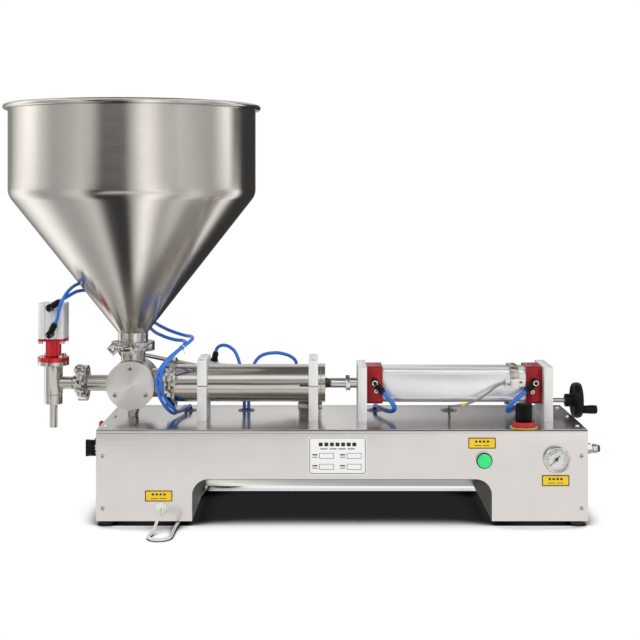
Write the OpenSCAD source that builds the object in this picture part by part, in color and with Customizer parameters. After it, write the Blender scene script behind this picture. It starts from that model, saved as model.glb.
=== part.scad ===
// Piston filling machine for pastes: a hopper on a three way rotary valve, a product barrel,
// an air cylinder that drives it, a shut-off nozzle, and the sheet metal case that carries them.
// Units are millimetres. +X runs from the nozzle to the handwheel, +Y from front to back, +Z up.
// The origin is on the floor, in the middle of the machine's outline.

/* [Case] */
// Length of the sheet metal case
case_len = 810; // [760:5:900]
// Depth of the case from front to back
case_depth = 264; // [256:2:320]
// Height of the case above its feet
case_h = 150; // [140:1:190]
// Thickness of the case sheet
sheet_t = 2; // [1.5:0.1:3]
// Outside radius of the two long top bends
bend_r = 6; // [4:0.5:8]
// Height of the rubber feet
foot_h = 8; // [7:0.5:16]
// Diameter of a rubber foot
foot_d = 24; // [18:1:26]
// Width of the arch between the two legs
arch_len = 494; // [440:2:520]
// Height of the arch
arch_h = 69; // [50:1:72]
// Radius of the arch's upper corners
arch_r = 27; // [15:1:40]

/* [Cylinder line] */
// Height of the cylinder axis above the case
line_h = 59; // [56:1:75]
// Distance of the valve's centre from the case's left end
valve_inset = 43; // [40:1:60]
// Stroke of the piston
stroke = 200; // [120:5:200]

/* [Hopper] */
// Outside diameter of the hopper
hopper_d = 427; // [320:1:460]
// Height of the hopper's straight wall
hopper_wall_h = 156; // [90:1:200]
// Height of the hopper's cone
cone_h = 239; // [180:1:260]
// Thickness of the hopper's sheet
hopper_t = 1.5; // [1:0.1:3]
// Diameter of the bead rolled on the hopper's edge
bead_d = 9.5; // [6:0.5:14]
// Outside diameter of the hopper's neck
neck_d = 51.6; // [48:0.2:54]

/* [Valve] */
// Diameter of the valve drum
drum_d = 84; // [80:1:94]
// Length of the valve drum from front to back
drum_len = 68; // [62:1:80]
// Thickness of the valve's front cover
cover_t = 8; // [5:0.5:12]
// Diameter of the turning plug
rotor_d = 56; // [50:1:58]
// Height of the hopper's joint above the axis
inlet_reach = 65; // [62:1:75]
// Distance of the barrel's joint from the valve's centre
port_reach = 68; // [66:1:80]
// Distance of the outlet's joint from the valve's centre
outlet_reach = 86; // [74:1:100]

/* [Barrel] */
// Outside diameter of the product barrel
barrel_d = 65; // [60:0.5:66]
// Wall of the product barrel
barrel_wall = 3; // [2:0.1:4]
// Length of the product barrel
barrel_len = 267; // [260:1:290]
// Thickness of a barrel saddle along the barrel
saddle_t = 16; // [10:1:20]
// Width of a barrel saddle
saddle_w = 88; // [86:1:96]

/* [Air cylinder] */
// Gap between the barrel's end and the front plate
rod_gap = 56; // [40:1:80]
// Width and height of an end cap
cap_w = 64; // [62:1:70]
// Length of an end cap
cap_t = 27.5; // [20:0.5:34]
// Width and height of the drawn tube
profile_w = 58; // [56:0.5:60]
// Length of the drawn tube
profile_len = 247.5; // [240:0.5:280]
// Bore of the air cylinder
air_bore = 50; // [40:1:50]
// Diameter of the piston rods
rod_d = 18; // [14:0.5:20]
// Thickness of an end plate
plate_t = 15; // [8:0.5:18]
// Width of an end plate
plate_w = 104; // [100:1:116]

/* [Nozzle] */
// Distance of the nozzle's axis from the outlet's joint
nozzle_arm = 53; // [46:1:70]
// Outside diameter of the nozzle's upright tube
nozzle_d = 32; // [28:0.5:36]
// Outside diameter of the outlet tip
tip_d = 13.8; // [12:0.2:18]
// Length of the outlet tip below the tube
tip_len = 41; // [25:1:60]
// Width of the nozzle's air cylinder
head_w = 47; // [44:1:56]
// Height of the nozzle's air cylinder
head_h = 61; // [50:1:80]
// Opening travel of the nozzle's stem
nozzle_travel = 16; // [8:1:18]

/* [Volume adjuster] */
// Diameter of the handwheel
wheel_d = 63; // [56:1:70]
// Diameter of the lead screw
screw_d = 8; // [6:0.5:10]
// Travel of the sensor along the air cylinder
sensor_travel = 150; // [80:5:160]

/* [Front panel] */
// Width of a function plate
plate_label_w = 45.5; // [30:0.5:60]
// Height of a function plate
plate_label_h = 18.4; // [10:0.2:20]
// Width of the name plate
name_w = 95; // [60:1:120]
// Height of the name plate
name_h = 62; // [30:1:62]
// Diameter of the pressure gauge
gauge_d = 44; // [36:1:50]
// Diameter of the start button's cap
button_d = 23; // [18:0.5:26]

/* [Hidden] */
$fn = 64;

// Overrun of a cut past the face it goes through
over = 1;
// Clearances: a turning or sliding fit, a seat between fixed round faces, an easy gap
run_fit = 0.06;
seat_gap = 0.15;
ease = 0.4;

// Levels and stations, measured from the middle of the case
case_top = foot_h + case_h;
axis_z = case_top + line_h;
case_end = case_len / 2;
case_face = case_depth / 2;
valve_x = valve_inset - case_end;
barrel_x = valve_x + port_reach;
barrel_end = barrel_x + barrel_len;
outlet_x = valve_x - outlet_reach;
nozzle_x = outlet_x - nozzle_arm;
plate_x = barrel_end + rod_gap;
cap_x = plate_x + plate_t;
tube_x = cap_x + cap_t;
cap2_x = tube_x + profile_len;
plate2_x = cap2_x + cap_t;
air_end = plate2_x + plate_t;

// Round sheet metal and pipe details
flange_w = 28;
flange_r = bend_r - sheet_t;
liner_t = 1.5;

// Pipe joints: taper and thickness of a ferrule's rim, its gasket and the clamp round it
rim_t = 2.8;
rim_slope = tan(20);
gasket_t = 1.6;
clamp_w = 15;
clamp_wall = 5.5;
clamp_lip = 4.4;
clamp_gap = 3;
groove_gap = 0.35;
lug_t = 7;
lug_reach = 15;
bolt_d = 6;
bolt_off = 8;
knuckle_d = 9;
pin_d = 4;
hopper_rim_d = 64;
barrel_rim_d = 77.5;
outlet_rim_d = 50.5;
inlet_pipe_d = 42;
inlet_bore = 34;
port_pipe_d = 50;
port_bore = 34;
outlet_pipe_d = 27.5;
outlet_bore = 22;

// Eye nut that closes a pipe clamp
nut_d = 12;
nut_len = 9;
eye_d = 20;
eye_hole = 8;
eye_t = 6;
wing_w = 17;

// Valve details
drum_front = -drum_len / 2 + 4;
drum_back = drum_front + drum_len;
drum_wall_back = 8;
spindle_d = 14;
spindle_flat = 11;
channel_d = 24;

// Valve drive: axis plane, slope, lever arm and the swing of the plug
act_y = 92;
act_tilt = 11.5;
act_arm = 38;
lever_t = 8;
lever_pin_d = 6;
lever_w = 20;
lever_boss_d = 26;
slot_ease = 3.2;
act_d = 28;
act_nose = 116;
act_len = 167.5;
act_cap_t = 20;
act_cap_d = 31;
act_rod_d = 8;
act_neck_d = 18;
act_neck_len = 14;
fork_h = 12;
fork_base_t = 5;
fork_ear_t = 4;
tang_len = 32;
tang_t = 10;
tang_pin_d = 8;
act_foot_t = 6;
act_foot_w = 34;
block_l = 40;
block_w = 22;
post_d = 19;
post_collar_d = 22;
post_collar_h = 4;
bar_d = 12;
bar_back = 19;
bar_front = 7;

// Nozzle details, heights above and below the axis
neck_h = 22;
nozzle_up = 38.5;
nozzle_down = 36.4;
nozzle_bore = 24;
flange_d = 54;
flange_t = 7;
seat_bore = 10;
socket_t = 17;
branch_d = 22;
branch_bore = 16;
yoke_base_t = 7.2;
yoke_col_d = 27;
yoke_col_h = 28.4;
yoke_top_t = 4.4;
yoke_bore = 13;
yoke_rib_d = 7;
stem_d = 8;
plunger_d = 12;
head_piston_d = 30;
head_piston_t = 8;
head_wall = 6;
head_corner = 6;
head_slot_w = 4;
head_slot_deep = 2;

// Air cylinder details
profile_r = 9;
groove_w = 3;
groove_deep = 1.6;
groove_off = 20;
cap_r = 5;
plate_r = 4;
air_rise = 34;
gland_d = 32;
air_piston_t = 18;
piston_t = 24;
piston_lip = 4;
seal_w = 5;
seal_deep = 3;
rod_nut_d = 27;
rod_nut_t = 8;
end_ring_len = 12;
end_ring_t = 0.8;
saddle_top = 45;
split_gap = 1.4;
saddle_r = 4;
saddle_inset = 47.5;
saddle2_inset = 28.5;

// Screws: shank, head and socket sizes, and where they sit
screw_shank = 5;
screw_head_d = 8.5;
screw_head_h = 4;
screw_socket = 4;
screw_len = 14;
pan_d = 7.5;
pan_h = 2.2;
pan_shank = 4;
pan_in = 10.5;
pan_low = 21;
pan_high = 107;
top_screw_y = 95;
cover_pcd = 61;

// Lead screw, handwheel and the sensor's carriage
screw_y = 43;
screw_drop = 37;
wheel_over = 6.5;
wheel_gap = 37;
hub_d = 23;
hub_len = 13;
wheel_t = 16;
wheel_rim_t = 8;
wheel_web_t = 5;
grip_r = 22;
grip_turn = 219;
grip_d = 15;
grip_len = 25;
grip_pin_d = 6;
strap_t = 2.5;
strap_w = 14;
strap_gap = 0.6;
carriage_in = 27;
carriage_nut_d = 16;
sensor_len = 33;
sensor_h = 12;
sensor_t = 8;
sensor_z = 5;

// Front panel, side and top fittings, places measured from the middle of the case
name_x = -7.4;
name_z = 107.8;
label_t = 0.8;
start_x = 230.5;
start_z = 128.5;
press_x = 351.6;
press_z = 66.8;
pedal_x = -301.7;
pedal_z = 41.5;
button_x = 234;
button_z = 100;
bezel_d = 29;
bezel_t = 3;
button_hole = 27;
button_out = 6;
button_press = 4;
button_stem = 14;
button_deep = 24;
gauge_x = 353;
gauge_z = 102;
gauge_out = 9;
gauge_deep = 24;
gauge_rim = 3;
gauge_hole = 36;
lens_t = 1.5;
dial_t = 1;
hub_post_d = 3;
needle_len = 15;
needle_tail = 8;
needle_w = 1.6;
needle_hub_d = 5;
needle_t = 0.8;
needle_gap = 1.5;
gland_x = -297.5;
gland_z = 22;
gland_flange_d = 18;
gland_flange_t = 3;
gland_nose_d = 12;
gland_nose_len = 9;
cable_d = 5;
inlet_y = -40;
inlet_z = 102;
inlet_hex = 19;
inlet_hex_t = 8;
inlet_body_d = 16;
inlet_len = 38;
inlet_ring_d = 14;
hose_d = 6;
cap_hose_d = 8;
selector_y = -60;
selector_z = 107;
selector_collar_d = 22;
selector_collar_t = 12;
selector_d = 27.5;
selector_t = 17;
selector_bar_w = 7;
selector_bar_h = 5;
shutoff_y = 0;
shutoff_z = 106;
shutoff_d = 16;
shutoff_out = 19;
shutoff_pin_d = 5;
shutoff_lever_len = 37;
shutoff_lean = 12;
reg_x = 303.3;
reg_in = 27;
reg_y = reg_in - case_face;
reg_collar_d = 39.5;
reg_collar_h = 9;
reg_knob_d = 28;
reg_knob_h = 30;
reg_ribs = 16;
reg_rib_d = 2.4;
reg_stem_d = 12;
reg_deep = 20;
grommet_y = 68;
grommet_xs = [-272, -168, 62, 195, 325];
grommet_d = 30;
grommet_bore = 19;
grommet_t = 1.6;

// Elbow fittings: hex, body and arm
elbow_hex = 14;
elbow_hex_t = 5;
elbow_d = 12;
elbow_len = 12;
elbow_arm = 22;
elbow_arm_d = 11;
elbow_socket = 8;
riser_h = 18;
riser_d = 11;

// The case's middle, placed so that the outline from hopper rim to grip is centred on the origin
hopper_r = hopper_d / 2;
grip_end = air_end + wheel_gap + hub_len + wheel_t + grip_len;
mid_x = (hopper_r + bead_d - hopper_t / 2 - valve_x - grip_end) / 2;

// Routes of the air hoses, each from a fitting down to a hole in the case top
hose_routes = [
    [[-494.4, -34.5, 318], [-490.5, -34.5, 326.1], [-487, -38, 334], [-484, -44, 344],
     [-481, -47, 354], [-476, -45, 366], [-470, -34, 378], [-464, -12, 386], [-458, 18, 389],
     [-448, 52, 387], [-426, 82, 378], [-394, 94, 360], [-360, 86, 338], [-334, 60, 318],
     [-308, 36, 307], [-284, 16, 301], [-270, 2, 299], [-258.5, -14, 299], [-257, -28, 295.5],
     [-265, -40, 289], [-277, -50, 280], [-288.5, -59, 269], [-300, -64.5, 255],
     [-305.5, -63.5, 240], [-307, -59, 226], [-306, -54.5, 214], [-302.5, -49.5, 201],
     [-297, -45, 190], [-290, -36, 180], [-283, -16, 169.5], [-277.5, 10, 167.5],
     [-272.5, 40, 168], [-268.5, 62, 167], [-268, 68, 156], [-268, 68, 140]],
    [[-488.4, -34.5, 358.7], [-480.9, -34.5, 363.6], [-472, -32, 369], [-464, -22, 374],
     [-458, -4, 377], [-450, 28, 376], [-429, 58, 370], [-398, 80, 355], [-364, 80, 336],
     [-336, 46, 306], [-314, 24, 296.5], [-291, 4, 292], [-275, -12, 292], [-268.5, -25, 290.5],
     [-272.5, -38, 284.5], [-283.5, -48, 275], [-296, -57.5, 264], [-307, -63, 250],
     [-312.3, -61, 238], [-313.8, -57, 225], [-312.5, -54, 212], [-309, -50, 198.5],
     [-303, -44, 186], [-296, -34, 174.5], [-290, -14, 166], [-285, 10, 165], [-280, 40, 166],
     [-276.5, 62, 166], [-276, 68, 156], [-276, 68, 140]],
    [[-225.6, 92, 255.5], [-223.8, 92, 264.3], [-219, 91, 270], [-210, 88, 272.5],
     [-200, 85, 270], [-189, 80, 261], [-181, 75, 242], [-175, 70, 214], [-172, 68, 180],
     [-172, 68, 140]],
    [[-81.1, 92, 226.1], [-79.3, 92, 234.9], [-80, 91, 243], [-86, 89, 250], [-96, 86, 255.5],
     [-114, 82, 259.5], [-135, 78, 257.5], [-148, 76, 250], [-156, 73, 236], [-162, 69, 210],
     [-164, 68, 180], [-164, 68, 140]],
    [[67.8, -43, 211.9], [73.8, -43, 205.2], [80.5, -43.5, 197.5], [87.5, -44, 188.5],
     [91.5, -42, 180.5], [90.5, -34, 174.5], [85, -20, 170.5], [77, 2, 169], [68, 34, 168.5],
     [63, 57, 168], [62, 67, 160], [62, 68, 150], [62, 68, 140]],
    [[321.6, -43, 213], [314.9, -43, 206.9], [304, -45, 199], [293, -48, 189.5],
     [286, -46, 181], [286, -34, 173.5], [294, -8, 169.5], [308, 30, 168.5], [320, 55, 168],
     [325, 67, 160], [325, 68, 150], [325, 68, 140]]];
hose_steps = 2;
hose_sides = 8;

// Route of the sensor's lead, from the sensor under the cylinder to a hole in the case top
lead_d = 4;
lead_route = [[288.5, -36.1, 222], [279, -36.5, 221.5], [265, -40, 215.5], [250, -43, 204.5],
    [233, -44, 194], [216, -43, 187], [204, -42, 184.5], [193, -38, 182.5], [188, -24, 180],
    [189, 0, 176], [192, 30, 171], [195, 52, 168], [195, 66, 164], [195, 68, 154],
    [195, 68, 142]];

// Route of the foot switch cable, from the gland to the floor and under the left leg
cable_steps = 3;
cable_sides = 8;

// Coil of the stored cable behind the case, and its plug
coil_turns = 5;
coil_ring = 24;
coil_sides = 6;
coil_r = 20;
coil_pitch = 5.8;
coil_x = -212;
coil_y = 196;
coil_low = cable_d / 2 + 0.5;
plug_d = 12;
plug_len = 34;
coil_lead = [coil_x - coil_r - coil_pitch * coil_turns / 2, coil_y - cable_d, coil_low];
cable_route = [[gland_x, -133, 30], [gland_x, -142, 30], [gland_x, -150, 29.5],
    [-298, -160, 26], [-299.5, -170, 19], [-302, -180, 10.5], [-305, -191, 4.5], [-308, -203, 3],
    [-308, -216, 3], [-300, -228, 3], [-287, -230, 3], [-276, -221, 3], [-273, -206, 3],
    [-273, -170, 3], [-271, -120, 3], [-266, -60, 3], [-259, 10, 3], [-252, 70, 3],
    [-247.5, 120, 3], [-246.5, 156, 3], coil_lead - [0, 14, 0], coil_lead - [0, ease, 0]];

// Vector and path functions
function unit(v) = v / norm(v);
function flat(list) = [for (part = list) each part];
function spline_at(a, b, c, d, t) =
    (2 * b + (c - a) * t + (2 * a - 5 * b + 4 * c - d) * t * t
    + (3 * b - a - 3 * c + d) * t * t * t) / 2;
function knot(p, i) = i < 0 ? 2 * p[0] - p[1]
    : i >= len(p) ? 2 * p[len(p) - 1] - p[len(p) - 2] : p[i];
function smooth(p, n) = concat([for (i = [0 : len(p) - 2], s = [0 : n - 1])
    spline_at(knot(p, i - 1), p[i], p[i + 1], knot(p, i + 2), s / n)], [p[len(p) - 1]]);
function heading(p, i) = unit(p[min(i + 1, len(p) - 1)] - p[max(i - 1, 0)]);
function square_to(v, t) = unit(v - (v * t) * t);
function carried(p, i, v) = i == 0 ? [square_to(v, heading(p, 0))]
    : let (before = carried(p, i - 1, v))
      concat(before, [square_to(before[i - 1], heading(p, i))]);
function ring(c, u, t, r, n) = [for (k = [0 : n - 1])
    c + r * (cos(360 * k / n) * u + sin(360 * k / n) * cross(t, u))];

// A closed tube along a path: one ring per point, triangles between, a fan on each end
module swept_tube(path, r, n, start) {
    up = carried(path, len(path) - 1, start);
    count = len(path);
    points = flat([for (i = [0 : count - 1]) ring(path[i], up[i], heading(path, i), r, n)]);
    sides = [for (i = [0 : count - 2], k = [0 : n - 1]) let (a = i * n + k,
        b = i * n + (k + 1) % n) each [[a, b, b + n], [a, b + n, a + n]]];
    near = [for (k = [1 : n - 2]) [0, k + 1, k]];
    base = (count - 1) * n;
    far = [for (k = [1 : n - 2]) [base, base + k, base + k + 1]];
    polyhedron(points = points, faces = [for (f = concat(sides, near, far)) [f[0], f[2], f[1]]]);
}

// Plain helpers: the case's middle, rods along each axis, rounded outlines
module in_case() {
    translate([mid_x, 0, 0]) children();
}

module on_axis() {
    translate([mid_x, 0, axis_z]) children();
}

module rod_x(from, to, d) {
    translate([from, 0, 0]) rotate([0, 90, 0]) cylinder(d = d, h = to - from);
}

module rod_y(from, to, d) {
    translate([0, from, 0]) rotate([-90, 0, 0]) cylinder(d = d, h = to - from);
}

module rounded_top(w, h, r) {
    translate([-w / 2, 0]) square([w, h - r]);
    translate([r - w / 2, h - r - over / 2]) square([w - 2 * r, r + over / 2]);
    for (side = [-1, 1]) translate([side * (w / 2 - r), h - r]) circle(r);
}

module rounded_square(w, h, r) {
    translate([-w / 2, r - h / 2]) square([w, h - 2 * r]);
    translate([r - w / 2, -h / 2]) square([w - 2 * r, h]);
    for (x = [-1, 1], y = [-1, 1]) translate([x * (w / 2 - r), y * (h / 2 - r)]) circle(r);
}

// Turns an outline drawn in Y and Z into a length along X
module along_x(from, to) {
    translate([from, 0, 0]) rotate([90, 0, 90]) linear_extrude(height = to - from) children();
}

// Turns an outline drawn in X and Z into a length along Y
module along_y(from, to) {
    translate([0, to, 0]) rotate([90, 0, 0]) linear_extrude(height = to - from) children();
}

module arch_outline(grow) {
    translate([0, foot_h]) rounded_top(arch_len + 2 * grow, arch_h + grow, arch_r + grow);
}

// Places shared by the case and what is fixed to it
module at_front(x, z) {
    translate([x, -case_face, foot_h + z]) children();
}

module at_left(y, z) {
    translate([-case_end, y, foot_h + z]) rotate([0, -90, 0]) children();
}

module wall_screws() {
    for (x = [-1, 1], y = [-1, 1], z = [pan_low, pan_high])
        translate([x * (case_end - pan_in), y * case_face, foot_h + z]) rotate([y * -90, 0, 0])
            children();
}

module top_screws() {
    for (x = [-1, 1], y = [-top_screw_y, 0, top_screw_y])
        translate([x * (case_end - pan_in), y, case_top]) children();
}

module pan_hole() {
    translate([0, 0, -screw_len]) cylinder(d = pan_shank + ease, h = screw_len + over);
}

module pan_screw() {
    difference() {
        cylinder(d1 = pan_d, d2 = pan_d - pan_h, h = pan_h);
        for (turn = [0, 90]) rotate(turn) translate([-pan_d / 4, -pan_h / 8, pan_h / 2])
            cube([pan_d / 2, pan_h / 4, pan_h]);
    }
    translate([0, 0, -sheet_t * 2]) cylinder(d = pan_shank, h = sheet_t * 2);
}

module socket_screw(shank, length) {
    difference() {
        cylinder(d = screw_head_d, h = screw_head_h);
        translate([0, 0, screw_head_h / 2]) cylinder(d = screw_socket, h = screw_head_h, $fn = 6);
    }
    translate([0, 0, -length]) cylinder(d = shank, h = length);
}

// Case: a folded sheet with an arch in its front wall, closed by two flanged end panels
module case_shell() color("#cfccc8") in_case() difference() {
    along_x(-case_end, case_end) difference() {
        translate([0, foot_h]) rounded_top(case_depth, case_h, bend_r);
        translate([0, foot_h - over])
            rounded_top(case_depth - 2 * sheet_t, case_h - sheet_t + over, flange_r);
    }
    along_y(-case_face - over, 0) {
        arch_outline(0);
        translate([-arch_len / 2, foot_h - over]) square([arch_len, arch_h - arch_r]);
    }
    wall_screws() pan_hole();
    top_screws() pan_hole();
    for (x = grommet_xs) translate([x, grommet_y, case_top - sheet_t - over])
        cylinder(d = grommet_bore + 2 * grommet_t, h = sheet_t + 2 * over);
    translate([reg_x, reg_y, case_top - sheet_t - over])
        cylinder(d = reg_stem_d + ease, h = sheet_t + 2 * over);
    at_front(button_x, button_z) rod_y(-over, sheet_t + over, button_hole + ease);
    at_front(gauge_x, gauge_z) rod_y(-over, sheet_t + over, gauge_hole + ease);
    at_front(gland_x, gland_z) rod_y(-over, sheet_t + over, gland_nose_d + ease);
}

module side_panels() color("#c6c3bf") in_case() for (side = [0, 1]) mirror([side, 0, 0])
    difference() {
        along_x(case_end - flange_w, case_end) translate([0, foot_h])
            rounded_top(case_depth - 2 * sheet_t, case_h - sheet_t, flange_r);
        along_x(case_end - flange_w - over, case_end - sheet_t) translate([0, foot_h + sheet_t])
            rounded_top(case_depth - 4 * sheet_t, case_h - 3 * sheet_t, flange_r);
        wall_screws() pan_hole();
        top_screws() pan_hole();
        if (side == 1) {
            translate([case_end - sheet_t - over, selector_y, foot_h + selector_z])
                rod_x(0, sheet_t + 2 * over, selector_collar_t + ease);
            translate([case_end - sheet_t - over, shutoff_y, foot_h + shutoff_z])
                rod_x(0, sheet_t + 2 * over, shutoff_d / 2 + ease);
        }
        if (side == 0)
            translate([case_end - sheet_t - over, inlet_y, foot_h + inlet_z])
                rod_x(0, sheet_t + 2 * over, inlet_ring_d + ease);
    }

module belly_pan() color("#4b4b4c") in_case()
    along_y(sheet_t - case_face, case_face - sheet_t) difference() {
        arch_outline(liner_t);
        translate([0, -over]) arch_outline(0);
        translate([-arch_len / 2, foot_h - 2 * over]) square([arch_len, arch_r]);
    }

module feet() color("#26272a") in_case() for (x = [-1, 1], y = [-1, 1])
    translate([x * (case_end - flange_w / 2 - sheet_t / 2),
        y * (case_face - flange_w / 2 - sheet_t), 0]) difference() {
            cylinder(d1 = foot_d - foot_h / 2, d2 = foot_d, h = foot_h);
            translate([0, 0, -over]) cylinder(d = foot_d / 4, h = foot_h / 2 + over);
        }

// Plates on the front
module panel_plate(x, z, w, h) {
    at_front(x, z) along_y(-label_t, 0) rounded_square(w, h, label_t * 2);
}

module name_plate() color("#eeeeec") in_case() panel_plate(name_x, name_z, name_w, name_h);

module function_plates() color("#e8b71c") in_case() {
    panel_plate(start_x, start_z, plate_label_w, plate_label_h);
    panel_plate(press_x, press_z, plate_label_w, plate_label_h);
    panel_plate(pedal_x, pedal_z, plate_label_w, plate_label_h);
    translate([reg_x, reg_y, case_top]) difference() {
        cylinder(d = reg_collar_d + 3 * reg_rib_d, h = label_t);
        translate([0, 0, -over]) cylinder(d = reg_stem_d + ease, h = label_t + 2 * over);
    }
}

// Rubber rings that line the hose holes
module hose_grommets() color("#1c1d1f") in_case() for (x = grommet_xs)
    translate([x, grommet_y, case_top]) difference() {
        union() {
            cylinder(d1 = grommet_d, d2 = grommet_d - grommet_t, h = grommet_t);
            translate([0, 0, -sheet_t])
                cylinder(d = grommet_bore + 2 * grommet_t - ease, h = sheet_t);
            translate([0, 0, -sheet_t - grommet_t]) cylinder(d = grommet_d - 2, h = grommet_t);
        }
        translate([0, 0, -sheet_t - grommet_t - over])
            cylinder(d = grommet_bore, h = sheet_t + 2 * grommet_t + 2 * over);
    }

// Foot switch cable: gland, free run, stored coil and its plug
module cable_gland() color("#e9e9e6") in_case() at_front(gland_x, gland_z) difference() {
    union() {
        rod_y(-gland_flange_t, 0, gland_flange_d);
        rod_y(-gland_nose_len, 0, gland_nose_d);
        rod_y(-over / 2, sheet_t + gland_flange_t, gland_nose_d);
    }
    rod_y(-gland_nose_len - over, sheet_t + gland_flange_t + over, cable_d + ease);
}

module foot_cable() color("#d9d9d6") in_case()
    swept_tube(smooth(cable_route, cable_steps), cable_d / 2, cable_sides, [0, 0, 1]);

// The coil winds in on the floor and out again on top of itself, then runs out to the plug
function coil_at(a) = let (turn = a / 360, half = coil_turns / 2,
    inward = turn < half ? turn : coil_turns - turn,
    r = coil_r + coil_pitch * (half - inward),
    lift = max(0, min(1, (turn - half + 0.25) / 0.5)))
    [coil_x - r * cos(a), coil_y + r * sin(a), coil_low + lift * coil_pitch];
coil_last = coil_at(360 * coil_turns);
coil_tail = coil_last + [-plug_d / 2, 2 * plug_d, plug_d / 2 - coil_last[2]];
coil_path = concat([coil_lead], [for (i = [0 : coil_turns * coil_ring])
    coil_at(360 * i / coil_ring)], [coil_last + [-0.5, plug_d * 0.7, -0.5],
    coil_tail - [0.5, plug_d * 0.6, -0.5], coil_tail]);
function least(list, i = 0, best = 1e9) = i >= len(list) ? best
    : least(list, i + 1, min(best, list[i]));
coil_gap = least([for (i = [0 : len(coil_path) - 1], j = [i + coil_ring / 2 : len(coil_path) - 1])
    norm(coil_path[i] - coil_path[j])]) - cable_d;
echo(coil_least_gap = coil_gap);

module foot_cable_coil() color("#d9d9d6") in_case()
    swept_tube(coil_path, cable_d / 2, coil_sides, [0, 0, 1]);

module foot_cable_plug() color("#2b2c2e") in_case()
    translate(coil_tail + [0, ease, 0]) difference() {
        union() {
            rod_y(0, plug_len * 0.4, plug_d * 0.7);
            rod_y(plug_len * 0.3, plug_len, plug_d);
        }
        rod_y(plug_len * 0.8, plug_len + over, plug_d * 0.75);
    }

// Air inlet on the right side
module air_inlet() color("#b9b7b2") in_case() translate([case_end, inlet_y, foot_h + inlet_z])
    difference() {
        union() {
            rotate([0, 90, 0]) cylinder(d = inlet_hex, h = inlet_hex_t, $fn = 6);
            rod_x(0, inlet_len * 0.55, inlet_body_d - 2);
            rod_x(inlet_len * 0.35, inlet_len * 0.85, inlet_body_d);
            rod_x(0, inlet_len, inlet_ring_d);
            rod_x(-sheet_t - inlet_hex_t, over, inlet_ring_d);
        }
        rod_x(inlet_len / 2, inlet_len + over, hose_d + 2);
    }

// Pressure gauge: turned case, dial, lens and needle
module at_gauge() {
    in_case() at_front(gauge_x, gauge_z) children();
}

module gauge_body() color("#b5b6b8") at_gauge() difference() {
    union() {
        rod_y(-gauge_out, 0, gauge_d);
        rod_y(-over, gauge_deep, gauge_hole);
        rod_y(gauge_deep - over, gauge_deep + gauge_out, gauge_hole / 3);
    }
    rod_y(-gauge_out - over, -gauge_out + lens_t, gauge_d - 2 * gauge_rim + ease);
    rod_y(-gauge_out, 0, gauge_d - 2 * gauge_rim - 2);
}

module gauge_dial() color("#f2f2f0") at_gauge() {
    rod_y(-dial_t, 0, gauge_d - 2 * gauge_rim - 2 - ease);
    rod_y(-dial_t - needle_gap - needle_t - over, -dial_t, hub_post_d);
}

module gauge_lens() color("#dfe9ee", 0.35) at_gauge()
    rod_y(-gauge_out, -gauge_out + lens_t - seat_gap, gauge_d - 2 * gauge_rim);

module gauge_needle() color("#1b1b1c") at_gauge()
    translate([0, -dial_t - needle_gap, 0]) rotate([0, -135, 0]) difference() {
        union() {
            rod_y(-needle_t, 0, needle_hub_d);
            along_y(-needle_t, 0) polygon([[-needle_w, -needle_tail], [needle_w, -needle_tail],
                [needle_w / 4, needle_len], [-needle_w / 4, needle_len]]);
        }
        rod_y(-needle_t - over, over, hub_post_d + 2 * run_fit);
    }

// Chromed collars of the start button, the selector and the shut-off valve
module switch_collars() color("#b9babc") in_case() {
    at_front(button_x, button_z) difference() {
        union() {
            rod_y(-bezel_t, 0, bezel_d);
            rod_y(-over, button_deep, button_hole);
        }
        rod_y(-bezel_t - over, bezel_t + button_press, button_d + 2 * ease);
        rod_y(0, button_deep - bezel_t, button_stem + 2 * run_fit);
    }
    translate([-case_end, selector_y, foot_h + selector_z]) difference() {
        union() {
            rod_x(-selector_collar_t, 0, selector_collar_d);
            rod_x(-over, sheet_t + selector_collar_t, selector_collar_t);
        }
        rod_x(-selector_collar_t - over, over, selector_collar_t / 2 + 2 * run_fit);
    }
    translate([-case_end, shutoff_y, foot_h + shutoff_z]) difference() {
        union() {
            rod_x(-shutoff_out - shutoff_d / 4, 0, shutoff_d);
            rod_x(-over, sheet_t + shutoff_d, shutoff_d / 2);
        }
        translate([-shutoff_out - shutoff_d / 2, -shutoff_pin_d / 2 - ease, -shutoff_d / 2 - over])
            cube([shutoff_d / 2 + shutoff_pin_d, shutoff_pin_d + 2 * ease, shutoff_d + 2 * over]);
        translate([-shutoff_out, 0, 0]) rod_y(-shutoff_d, shutoff_d, shutoff_pin_d / 2 + 2 * run_fit);
    }
}

module start_button() color("#1fd16b") in_case() at_front(button_x, button_z) {
    rod_y(-bezel_t - button_out + over, bezel_t - over, button_d);
    rod_y(-bezel_t - button_out, -bezel_t, button_d - over);
    rod_y(0, bezel_t + button_press, button_stem);
}

// Black selector on the left side, with a bar to turn it by
module selector_knob() color("#1d1e20") in_case()
    translate([-case_end - selector_collar_t, selector_y, foot_h + selector_z]) {
        rod_x(-selector_t + selector_bar_h, -seat_gap, selector_d);
        rod_x(-over, selector_collar_t - over, selector_collar_t / 2);
        translate([-selector_t, -selector_bar_w / 2, -selector_d / 2])
            cube([selector_bar_h + over, selector_bar_w, selector_d]);
    }

// Red lever of the shut-off valve: a drop that widens towards its round end
module shutoff_lever() color("#c41f2e") in_case()
    translate([-case_end - shutoff_out, shutoff_y, foot_h + shutoff_z]) rotate([0, shutoff_lean, 0]) {
        rod_y(-shutoff_d / 2, shutoff_d / 2, shutoff_pin_d / 2);
        cylinder(d = shutoff_pin_d - 1, h = shutoff_lever_len * 0.6);
        translate([0, 0, shutoff_lever_len * 0.4])
            cylinder(d1 = shutoff_pin_d - 1, d2 = shutoff_pin_d * 1.8, h = shutoff_lever_len * 0.5);
        translate([0, 0, shutoff_lever_len * 0.9]) sphere(d = shutoff_pin_d * 1.8);
    }

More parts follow.
